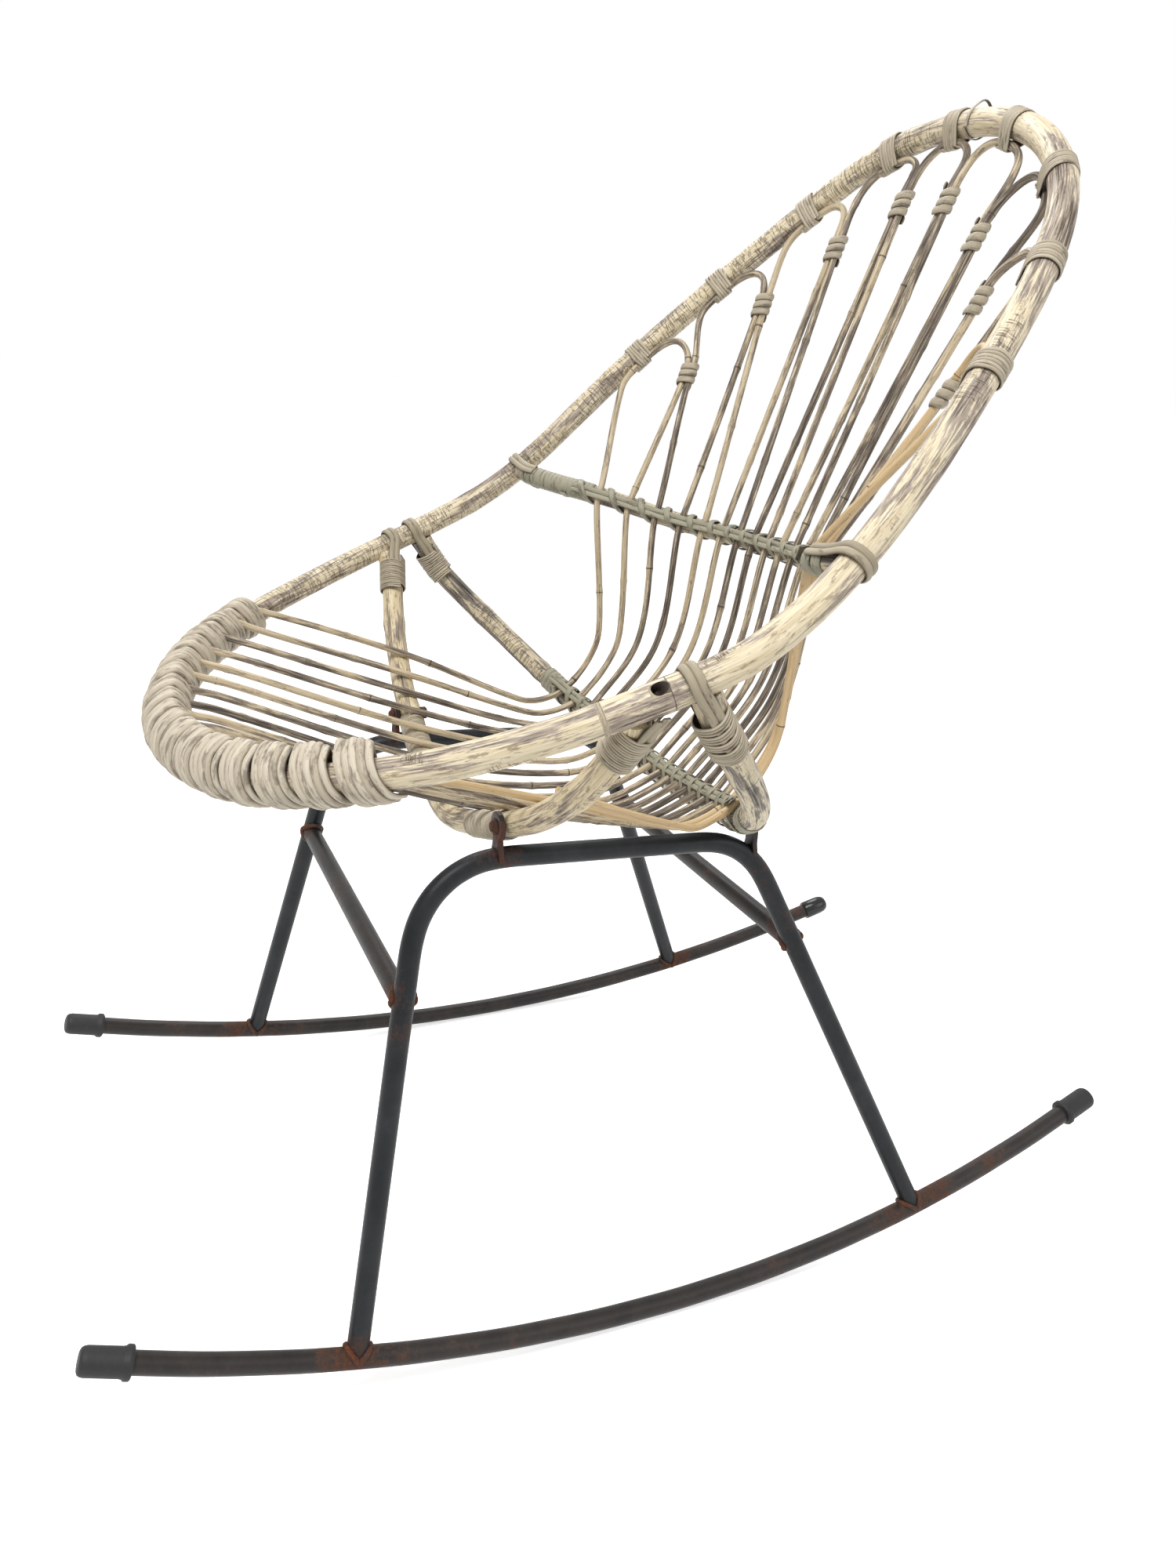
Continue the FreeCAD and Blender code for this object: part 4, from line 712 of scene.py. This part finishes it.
weathered_pole = weathered_pole_group()
rim_colours = ((243, 231, 202), (208, 189, 152), (160, 146, 134), (104, 86, 66), (82, 70, 58))
rim_rattan = rattan("Rim rattan", rim_colours, wear=0.008, cracks=0.46, pitch=260.0, far_cracks=0.4)
rim_line = curve_through(tube_centres("rim_pole", RIM_RADIUS, RIM_CORNERS), step=0.004, closed=True)
piece = line_piece("pole_rim", [rim_line], closed=True)
grow(piece, bent_pole, Radius=RIM_RADIUS, Sides=48, Joint_Spacing=0.27, Joint_Rise=0.035, Joint_Length=0.012,
     Unevenness=0.035, Seed=3.0, Tone=0.5, Material=rim_rattan)

# The recess of the arm screw, bored into the left arm's outside, its walls painted near black as the shade
# inside it
screw_spots = np.array([vertex.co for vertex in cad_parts["arm_screw"].data.vertices])
screw_middle = screw_spots.mean(axis=0)
screw_axis = np.linalg.svd(screw_spots - screw_middle)[2][0]
nearest_rim = rim_line[np.argmin(np.linalg.norm(rim_line - screw_middle, axis=1))]
if screw_axis @ (nearest_rim - screw_middle) < 0:
    screw_axis = -screw_axis
arm_hole_mouth = nearest_rim + screw_axis * RIM_RADIUS
# Painted shade: the walls of the recess are given these near-black browns for the shade that falls inside it
bore_shade_colours = ((58, 44, 33), (44, 33, 25), (40, 31, 24), (30, 24, 20), (22, 18, 15))
shaded_bore = rattan("Bore in painted shade", bore_shade_colours, wear=0.0, cracks=0.3)
drill_profile = ((0, 0), (0, COUNTERBORE_RADIUS), (DRILL_LENGTH, COUNTERBORE_RADIUS), (DRILL_LENGTH, 0))
drill_place = (arm_hole_mouth - screw_axis * COUNTERBORE_DEPTH, screw_axis)
drill = turned_piece("drill", drill_profile, [drill_place], shaded_bore)
boring = piece.modifiers.new("Bored", "BOOLEAN")
boring.operation = "DIFFERENCE"
boring.solver = "EXACT"
boring.material_mode = "TRANSFER"
boring.object = drill
keep_result(piece)
bpy.data.objects.remove(drill)
stands_for(piece, "rim_rattan", "rim_pole")

# Seat hoops and back bar
# Two poles bent to hoops hang under the seat from the rim, and a thinner bar crosses behind the
# back. Their skin is crazed all over and has peeled in patches.

HOOP_RADIUS = 0.010
BAR_RADIUS = 0.008
END_LEAD = 0.012
END_STEP = 0.002
END_BITE = 0.15


def run_to_rim(points, radius):
    """A pole's line, carried on at both ends until the pole meets the rim."""
    line = curve_through(points, step=0.004)
    for end in (0, -1):
        point, inwards = leaving(line, end)
        joint = rim_line[np.argmin(np.linalg.norm(rim_line - (point - inwards * END_LEAD), axis=1))]
        way = joint - point
        reach = np.linalg.norm(way) - RIM_RADIUS + radius * END_BITE
        added = [point + unit(way) * distance for distance in np.arange(END_STEP, reach, END_STEP)]
        if added:
            line = np.vstack([added[::-1], line]) if end == 0 else np.vstack([line, added])
    return line


hoop_colours = ((232, 217, 182), (200, 180, 140), (150, 136, 120), (104, 86, 66), (66, 56, 48))
peeling_colours = ((226, 212, 180), (190, 174, 144), (118, 110, 102), (92, 80, 68), (54, 50, 47))
front_hoop_rattan = rattan("Crazed rattan", hoop_colours, wear=0.0, cracks=0.5, pitch=230.0)
rear_hoop_rattan = rattan(
    "Peeling rattan", peeling_colours, wear=0.03, cracks=0.4, pitch=220.0, far_cracks=0.3)
pole_lines = {"rim_pole": rim_line}
for name, radius, finish, seed in (
    ("front_seat_hoop", HOOP_RADIUS, front_hoop_rattan, 11.0),
    ("rear_seat_hoop", HOOP_RADIUS, rear_hoop_rattan, 17.0),
    ("back_bar", BAR_RADIUS, rear_hoop_rattan, 23.0),
):
    pole_lines[name] = run_to_rim(tube_centres(name, radius, TUBE_CORNERS), radius)
    piece = line_piece("pole_" + name, [pole_lines[name]])
    grow(piece, bent_pole, Radius=radius, Sides=40, Joint_Spacing=0.13, Joint_Rise=0.07, Joint_Length=0.007,
         Unevenness=0.05, Seed=seed, Tone=0.5, Material=finish)
    stands_for(piece, "hoop_rattan", name)

# Brackets, bolts, nuts and screws
# Flat steel tabs stand on the leg hoops and carry the shell. A bolt and a nut hold each front one
# to its hoop and a wood screw each rear one; the arm screw sits in its recess. All are rusty.


def softened(name, node, material, edge):
    """A CAD piece's flat faces with their edges rounded over."""
    mesh = bpy.data.meshes.new(name)
    shaped = bmesh.new()
    shaped.from_mesh(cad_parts[node].data)
    bmesh.ops.remove_doubles(shaped, verts=shaped.verts, dist=1e-5)
    bmesh.ops.dissolve_limit(shaped, angle_limit=math.radians(2), verts=shaped.verts, edges=shaped.edges)
    bent = math.radians(20)
    creases = [line for line in shaped.edges if len(line.link_faces) == 2 and line.calc_face_angle(0) > bent]
    bmesh.ops.bevel(shaped, geom=creases, offset=edge, segments=3, profile=0.6, affect="EDGES",
                    clamp_overlap=True)
    bmesh.ops.triangulate(shaped, faces=[face for face in shaped.faces if len(face.verts) > 4])
    return worked_piece(name, mesh, shaped, 35, material)


bracket_steel = rusty_enamel("Rusty tab", (40, 35, 34), (62, 52, 47), (96, 60, 44), spread=-0.02)
fastener_steel = rusty_enamel("Rusty fastener", (48, 38, 34), (70, 54, 46), (102, 64, 46), spread=0.02)
for node, slot, finish, edge in (
    ("front_brackets", "bracket", bracket_steel, 0.0008),
    ("rear_brackets", "bracket", bracket_steel, 0.0008),
    ("front_bracket_bolts", "bolt", fastener_steel, 0.0006),
    ("front_bracket_nuts", "bolt", fastener_steel, 0.0005),
    ("rear_bracket_screws", "bolt", fastener_steel, 0.0006),
    ("arm_screw", "screw", fastener_steel, 0.0003),
):
    stands_for(softened("steel_" + node, node, finish, edge), slot, node)

# Cane loops
# Nine hairpins of thin cane: each rises from the front rim under the seat, up the back, turns
# under the rim's top and comes back down. They are tan to dark grey-brown, with a joint line
# every hand's breadth.

CANE_RADIUS = 0.003
CANE_CORNERS = 6
CANE_TONES = (0.45, 0.7, 0.35, 0.8, 0.55, 0.75, 0.9, 0.6, 0.1)
# Between the front binding and the front hoop a cane lies on nothing and is straight
FREE_REACH = (-0.245, -0.130)
SEAT_TOP = 0.5
cane_colours = ((216, 200, 168), (170, 150, 120), (122, 110, 98), (92, 80, 66), (66, 58, 51))
tan_colours = ((216, 190, 146), (190, 160, 118), (148, 124, 94), (110, 88, 64), (78, 62, 46))
cane_rattan = rattan("Greyed cane", cane_colours, wear=0.01, cracks=0.2, pitch=420.0, tones=0.32)
tan_rattan = rattan("Tan cane", tan_colours, wear=-0.02, cracks=0.2, pitch=420.0, tones=0.3)
for number, tone in enumerate(CANE_TONES, start=1):
    name = "loop_cane_%d" % number
    centres = tube_centres(name, CANE_RADIUS, CANE_CORNERS)
    front, back = FREE_REACH
    taut = [spot for spot in centres if spot[2] > SEAT_TOP or not front < spot[1] < back]
    pole_lines[name] = rounded_line(curve_through(taut, step=0.003), step=0.003, spread=0.006)
    piece = line_piece(name.replace("loop_cane", "cane_loop"), [pole_lines[name]])
    finish = tan_rattan if number == len(CANE_TONES) else cane_rattan
    grow(piece, bent_pole, Radius=CANE_RADIUS, Sides=16, Joint_Spacing=0.115, Joint_Rise=0.16,
         Joint_Length=0.0035, Unevenness=0.09, Seed=31.0 + 3.7 * number, Tone=tone, Material=finish)
    stands_for(piece, "cane_rattan", name)

# Front binding
# Strands of cane peel wound over the front rim and the ends of the loops, in groups of a few
# strands with a loop leaving between them. It is light grey-beige and lies in ridges.

FRONT_BINDING_WIDTH = 0.021
FOLDED_THICKNESS = 0.002
PEEL_SIDES = 14


def peel_courses(node, width, thickness):
    """Each strip of peel as its fold spots, with the way out and the way across at each."""
    chains = sections_in_order(
        node, 4, lambda length: abs(length - width) < SAME_LENGTH or length < thickness)
    inside = np.vstack(list(pole_lines.values()))
    courses = []
    for chain in chains:
        centres = np.array([section.mean(axis=0) for section in chain])
        outs = []
        acrosses = []
        for section in chain:
            reaches = np.linalg.norm(section - section[0], axis=1)
            partner = 1 + int(np.argmin(abs(reaches[1:] - width)))
            others = [index for index in (1, 2, 3) if index != partner]
            across = (section[partner] - section[0]) / width
            out = unit(section[others].mean(axis=0) - (section[0] + section[partner]) / 2)
            if acrosses and across @ acrosses[-1] < 0:
                across = -across
            if outs and out @ outs[-1] < 0:
                out = -out
            acrosses.append(across)
            outs.append(out)
        votes = 0
        for centre, out in zip(centres, outs):
            nearest = inside[np.argmin(np.linalg.norm(inside - centre, axis=1))]
            votes += np.sign(out @ (centre - nearest))
        courses.append((centres, np.array(outs) * (1 if votes >= 0 else -1), np.array(acrosses)))
    return courses


def drawn_round(course, fineness):
    """A strip's smooth course: it touches the middle of every flat between two folds."""
    drawn = []
    late = np.linspace(0, 1, fineness, endpoint=False)[:, None]
    weights = ((1 - late) ** 2, 2 * late * (1 - late), late ** 2)
    for values in course:
        middles = (values[1:] + values[:-1]) / 2
        rows = [values[:1]]
        for index in range(1, len(values) - 1):
            spots = (middles[index - 1], values[index], middles[index])
            rows.append(sum(weight * spot for weight, spot in zip(weights, spots)))
        rows += [middles[-1:], values[-1:]]
        drawn.append(np.vstack(rows))
    line, outs, acrosses = drawn
    along = unit(np.gradient(line, axis=0))
    outs = unit(outs - along * np.sum(outs * along, axis=1)[:, None])
    return line, outs, acrosses


def peel_tree():
    """Strands of half-round peel side by side along a line."""
    tree, given, result = geometry_tree("Wound peel", {
        "Strands": 1, "Spread": 0.006, "Width": 0.005, "Thickness": 0.0013, "Arch": 0.0, "Edge Lift": 0.0,
        "Looseness": 0.0, "Seed": 0.0, "Material": None})
    line = add_node("GeometryNodeMeshToCurve", {"Mesh": given["Geometry"]})
    inputs = {"Geometry": line.outputs["Curve"], "Amount": given["Strands"]}
    copies = add_node("GeometryNodeDuplicateElements", inputs, domain="SPLINE").outputs
    number = copies["Duplicate Index"]
    directions = []
    for label in ("out", "across"):
        node = new_node(tree, "GeometryNodeInputNamedAttribute", data_type="FLOAT_VECTOR")
        node.inputs["Name"].default_value = label
        directions.append(node.outputs["Attribute"])
    length = tree.nodes.new("GeometryNodeSplineParameter").outputs["Length"]
    place = plus(maths("DIVIDE", plus(number, 0.5), given["Strands"]), -0.5)
    own = plus(times(number, 7.31), given["Seed"])
    shifted = plus(length, own)
    wander = times(plus(noise_along(shifted, 60, 1), -0.5), given["Looseness"])
    sideways = plus(times(place, given["Spread"]), wander)
    lift = times(noise_along(plus(shifted, 50.0), 45, 1), given["Looseness"], 0.35)
    crown = times(maths("SUBTRACT", 1.0, times(place, place, 4.0)), given["Arch"])
    at_edge = maths("LESS_THAN", number, 0.5)
    lift = plus(lift, crown, times(at_edge, given["Edge Lift"]))
    shifts = []
    for direction, distance in zip(directions, (lift, sideways)):
        node = add_node("ShaderNodeVectorMath", {0: direction, "Scale": distance}, operation="SCALE")
        shifts.append(node.outputs[0])
    shift = add_node("ShaderNodeVectorMath", dict(enumerate(shifts)), operation="ADD").outputs[0]
    moved = add_node("GeometryNodeSetPosition", {"Geometry": copies["Geometry"], "Offset": shift})
    inputs = {"Curve": moved.outputs[0], "Normal": directions[0]}
    steered = add_node("GeometryNodeSetCurveNormal", inputs, mode="FREE")
    chance = add_node("ShaderNodeTexWhiteNoise", {"W": own}, noise_dimensions="1D").outputs["Value"]
    kept = capture(steered.outputs[0], "FLOAT", {"Length": shifted, "Tone": chance})
    circle = new_node(tree, "GeometryNodeCurvePrimitiveCircle")
    circle.inputs["Radius"].default_value = 1
    circle.inputs["Resolution"].default_value = PEEL_SIDES
    position = tree.nodes.new("GeometryNodeInputPosition").outputs[0]
    rim = capture(circle.outputs["Curve"], "VECTOR", {"Place": position})
    x, y, _ = parts_of(position)
    half_round = maths("DIVIDE", maths("MAXIMUM", x, -0.35), 1.35)
    flat = vector_of(times(half_round, given["Thickness"]), times(y, 0.5, given["Width"]))
    profile = add_node("GeometryNodeSetPosition", {"Geometry": rim["Geometry"], "Position": flat})
    sweep = add_node("GeometryNodeCurveToMesh", {
        "Curve": kept["Geometry"], "Profile Curve": profile.outputs[0], "Fill Caps": True})
    height, side, _ = parts_of(rim["Place"])
    straight = vector_of(kept["Length"], times(side, given["Width"]))
    shaped = store(sweep.outputs["Mesh"], "straight", straight, "FLOAT_VECTOR")
    shaped = store(shaped, "height", height)
    shaped = store(shaped, "tone", kept["Tone"])
    return finish_tree(tree, given, result, shaped)


def peel_group():
    """Masks that follow a strand of peel: grain, stains, its low edges for painted shade, and its own tone.
    """
    tree, _, result = mask_group("Strand of peel", {}, ("Grain", "Stains", "Edge", "Tone"))
    straight = kept_value(tree, "straight", "Vector")
    return give_masks(
        tree, result,
        Grain=noise(stretched(straight, 45, 1500), 1, 3, 0.65),
        Stains=noise(stretched(straight, 55, 90), 1, 4, 0.65),
        # Edge: the strand's low sides, where the painted shade goes
        Edge=remap(kept_value(tree, "height"), 0.85, 0.0),
        Tone=kept_value(tree, "tone"))


def peel(name, light, deep, dark, stain=0.0):
    """Split cane peel: silky along its grain, stained in patches, with painted shade in the furrow beside
    each strand.
    """
    light, deep, dark = (shade(*colour) for colour in (light, deep, dark))
    material, tree, shader = new_material(name, 0.5)
    grain, stains, edge, tone = masks_from(tree, strand_of_peel)
    mixed = plus(times(remap(grain, 0.32, 0.68), 0.55), times(tone, 0.5))
    stained = remap(plus(stains, stain), 0.54, 0.66)
    colour = blend_colours(mixed, light, deep)
    colour = blend_colours(times(stained, 0.7), colour, dark)
    # Painted shade: each strand's low sides, in the furrow beside the next strand, darkened towards the dark
    # colour
    colour = blend_colours(times(edge, edge, 0.95), colour, dark)
    finish_material(shader, colour, remap(grain, 0.3, 0.7, 0.42, 0.62), grain, 0.0002)
    return material


def wind(name, node, width, finish, fineness, thickness=FOLDED_THICKNESS, more=(), tucked=0, **inputs):
    """The strands of a CAD node's strips as one piece.

    More courses can be added, and some folds at both ends of each strip tucked away.
    """
    courses = []
    for course in peel_courses(node, width, thickness):
        shown = slice(tucked, len(course[0]) - tucked)
        courses.append(drawn_round([values[shown] for values in course], fineness))
    courses += more
    lines, outs, acrosses = zip(*courses)
    piece = line_piece(name, lines, out=outs, across=acrosses)
    grow(piece, wound_peel, Material=finish, **inputs)
    stands_for(piece, "peel", node)


wound_peel = peel_tree()
strand_of_peel = peel_group()
# The third colour of each peel serves both its stains and the painted shade beside its strands
pale_peel = peel("Pale peel", (224, 213, 192), (176, 163, 142), (92, 79, 64), stain=0.04)
wind("binding_front_rim", "front_rim_binding", FRONT_BINDING_WIDTH, pale_peel, fineness=5, tucked=4,
     Strands=5, Spread=0.0244, Width=0.0060, Thickness=0.0034, Arch=0.0038, Edge_Lift=0.0026,
     Looseness=0.0014, Seed=1.3)

# Rim ties
# Where a loop's shoulder passes the rim, a few close turns of split peel bind the two together.
# The turns go round rim and cane as one.

TIE_WIDTH = 0.0046
tie_peel = peel("Grey peel", (208, 197, 174), (160, 147, 125), (70, 60, 50))
for number in range(1, 10):
    wind("tie_rim_%d" % number, "rim_tie_%d" % number, TIE_WIDTH, tie_peel, fineness=6, Strands=2,
         Spread=0.0060, Width=0.0031, Thickness=0.0016, Looseness=0.0011, Seed=2.1 * number)

# Pair bindings
# Where two neighbouring loops run side by side, three fat turns of grey peel hold them together.
# They grip by their own tension.

PAIR_WIDTH = 0.006
wind("bindings_pair", "pair_bindings", PAIR_WIDTH, tie_peel, fineness=6, Strands=1, Spread=0.006,
     Width=0.0068, Thickness=0.0021, Looseness=0.0006, Seed=5.5)

# Leaders and lacings
# A leader strip lies across the canes on the bar and on the rear hoop, and a long strip laces
# leader and pole together, with one turn between every two canes. Close turns end both lacings.

LEADER_WIDTH = 0.009
LACING_WIDTH = 0.006
green_peel = peel("Greenish peel", (180, 175, 152), (136, 132, 112), (68, 63, 52), stain=0.01)
for node, seed in (("bar_leader", 7.0), ("rear_hoop_leader", 8.0)):
    wind("strip_" + node, node, LEADER_WIDTH, green_peel, fineness=4, Strands=2, Spread=0.009,
         Width=0.0047, Thickness=0.0014, Looseness=0.0003, Seed=seed)


POINTS_IN_TURN = 16
PEEL_CLEARANCE = 0.0002
BAR_TURN_PITCH = 0.0042
HOOP_TURN_PITCH = 0.0058


def close_turns(line, radius, pitch):
    """A course wound closely round a pole's line."""
    fine = evenly_along(line, pitch / POINTS_IN_TURN)
    angles = np.arange(len(fine)) * 2 * math.pi / POINTS_IN_TURN
    along = unit(np.gradient(fine, axis=0))
    sideways = unit(np.cross(along, (0, 0, 1)))
    outs = sideways * np.cos(angles)[:, None] + np.cross(along, sideways) * np.sin(angles)[:, None]
    return fine + outs * (radius + PEEL_CLEARANCE), outs, along


def turns_between(line, near, far, radius, pitch):
    """Close turns on a pole between two distances from the middle plane, on both sides of it."""
    reaches = [side * line[:, 0] for side in (-1, 1)]
    return [close_turns(line[(reach > near) & (reach < far)], radius, pitch) for reach in reaches]


bar_line = pole_lines["back_bar"]
laced_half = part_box("bar_leader")[1].x
bar_turns = turns_between(
    bar_line, laced_half - 0.004, abs(bar_line[0, 0]) - 0.012, BAR_RADIUS, BAR_TURN_PITCH)
laced_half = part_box("rear_hoop_leader")[1].x
hoop_turns = turns_between(
    pole_lines["rear_seat_hoop"], laced_half - 0.002, laced_half + 0.020, HOOP_RADIUS, HOOP_TURN_PITCH)
for node, seed, more in (("bar_lacing", 9.0, bar_turns), ("rear_hoop_lacing", 10.0, hoop_turns)):
    wind("strip_" + node, node, LACING_WIDTH, green_peel, fineness=5, more=more, Strands=1, Spread=0.006,
         Width=0.0064, Thickness=0.0016, Looseness=0.0006, Seed=seed)

# Straps and wraps
# A double strap of thick peel bends over the rim at each end of a hoop or the bar, and fine close
# turns bind its tails to the hoop. The left front strap has torn off but for a stub. The front
# hoop is also wound beside its tabs.

STRAP_WIDTH = 0.010
STRAP_FOLD = 0.0029
WRAP_WIDTH = 0.0048
TAB_TURN_PITCH = 0.0066
strap_peel = peel("Strap peel", (184, 172, 147), (150, 138, 116), (76, 66, 55), stain=-0.03)
tab_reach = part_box("front_brackets")[1].x - TAB_HALF_WIDTH
right_turns, left_turns = turns_between(
    pole_lines["front_seat_hoop"], tab_reach - 0.075, tab_reach - 0.012, HOOP_RADIUS, TAB_TURN_PITCH)
beside_tabs = {"left": left_turns, "right": right_turns}
for side in ("left", "right"):
    for end in ("front_hoop", "rear_hoop", "bar"):
        node = "%s_%s_strap" % (side, end)
        wind("strap_" + node[:-6], node, STRAP_WIDTH, strap_peel, fineness=7, thickness=STRAP_FOLD, Strands=2,
             Spread=0.0102, Width=0.0058, Thickness=0.0027, Looseness=0.0006, Seed=len(node) * 1.7)
    for end, more in (("front_hoop", [beside_tabs[side]]), ("rear_hoop", [])):
        node = "%s_%s_wrap" % (side, end)
        wind("wrap_" + node[:-5], node, WRAP_WIDTH, tie_peel, fineness=6, more=more, Strands=3,
             Spread=0.0064, Width=0.0020, Thickness=0.0016, Looseness=0.0010, Seed=len(node) * 2.3)

# Loose curl
# One turn of peel has sprung off the top of the rim and stands up from it as a ring. It is of the
# same grey peel as the ties.

CURL_WIDTH = 0.0034
wind("curl_loose_peel", "loose_peel_curl", CURL_WIDTH, tie_peel, fineness=8, Strands=1, Spread=0.0034,
     Width=0.0034, Thickness=0.0012, Seed=4.4)

# Floor, light and camera
# A white studio floor and surround, soft light from above and the front, and a camera from the
# chair's left and a little above, as in the photograph.

WHITE = (1, 1, 1, 1)
FLOOR_LEVEL = -0.0004
CAMERA_SPOT = (0.8805, -0.3951, 0.7130)
CAMERA_ANGLES = (65.548, 19.903, 2.906)

material, tree, shader = new_material("Studio floor", 0.8)
place = tree.nodes.new("ShaderNodeTexCoord").outputs["Object"]
mottle = noise(place, 3, 2)
floor_colour = blend_colours(mottle, (0.86, 0.86, 0.86, 1), (0.9, 0.9, 0.9, 1))
tree.links.new(floor_colour, shader.inputs["Base Color"])
path = tree.nodes.new("ShaderNodeLightPath").outputs
seen = maths("MAXIMUM", path["Is Camera Ray"], path["Is Glossy Ray"])
glow = add_node("ShaderNodeEmission", {"Color": WHITE, "Strength": times(seen, 0.6)})
both = add_node("ShaderNodeAddShader", {0: shader.outputs[0], 1: glow.outputs[0]})
tree.links.new(both.outputs[0], tree.nodes["Material Output"].inputs["Surface"])
mesh = bpy.data.meshes.new("floor")
floor_corners = [(x, y, FLOOR_LEVEL) for x, y in ((-30, -30), (30, -30), (30, 30), (-30, 30))]
mesh.from_pydata(floor_corners, [], [(0, 1, 2, 3)])
mesh.materials.append(material)
floor = new_piece("floor", mesh)

world = bpy.data.worlds.new("Studio")
world.use_nodes = True
bpy.context.scene.world = world
tree = world.node_tree
background = tree.nodes["Background"]
path = tree.nodes.new("ShaderNodeLightPath").outputs
seen = maths("MAXIMUM", path["Is Camera Ray"], path["Is Glossy Ray"])
seen = maths("MAXIMUM", seen, path["Is Transmission Ray"])
background.inputs["Color"].default_value = WHITE
tree.links.new(remap(seen, 0, 1, 0.38, 1.0), background.inputs["Strength"])

for name, spot, aim, width, power in (
    ("key", (0.9, -1.1, 2.9), (0, 0, 0.5), 1.3, 58),
    ("fill", (1.9, 1.2, 1.5), (0, 0, 0.5), 1.6, 10),
    ("back", (-1.8, 0.4, 2.5), (0, 0, 0.6), 1.3, 26),
):
    data = bpy.data.lights.new(name, "AREA")
    data.shape = "DISK"
    data.size = width
    data.energy = power
    lamp = new_piece(name, data)
    lamp.location = spot
    lamp.rotation_euler = (Vector(aim) - Vector(spot)).to_track_quat("-Z", "Y").to_euler()

turn, rise, roll = (math.radians(value) for value in CAMERA_ANGLES)
look = Vector((-math.sin(turn) * math.cos(rise), math.cos(turn) * math.cos(rise), -math.sin(rise)))
level = Vector((math.cos(turn), math.sin(turn), 0))
upward = level.cross(look)
right = level * math.cos(roll) + upward * math.sin(roll)
top = upward * math.cos(roll) - level * math.sin(roll)
camera_data = bpy.data.cameras.new("camera")
camera_data.sensor_width = 36
camera_data.sensor_fit = "HORIZONTAL"
camera_data.lens = 36.048
camera = new_piece("camera", camera_data)
axes = Matrix((right, top, -look)).transposed().to_4x4()
camera.matrix_world = Matrix.Translation(CAMERA_SPOT) @ axes
bpy.context.scene.camera = camera
bpy.context.scene.view_settings.view_transform = "Standard"
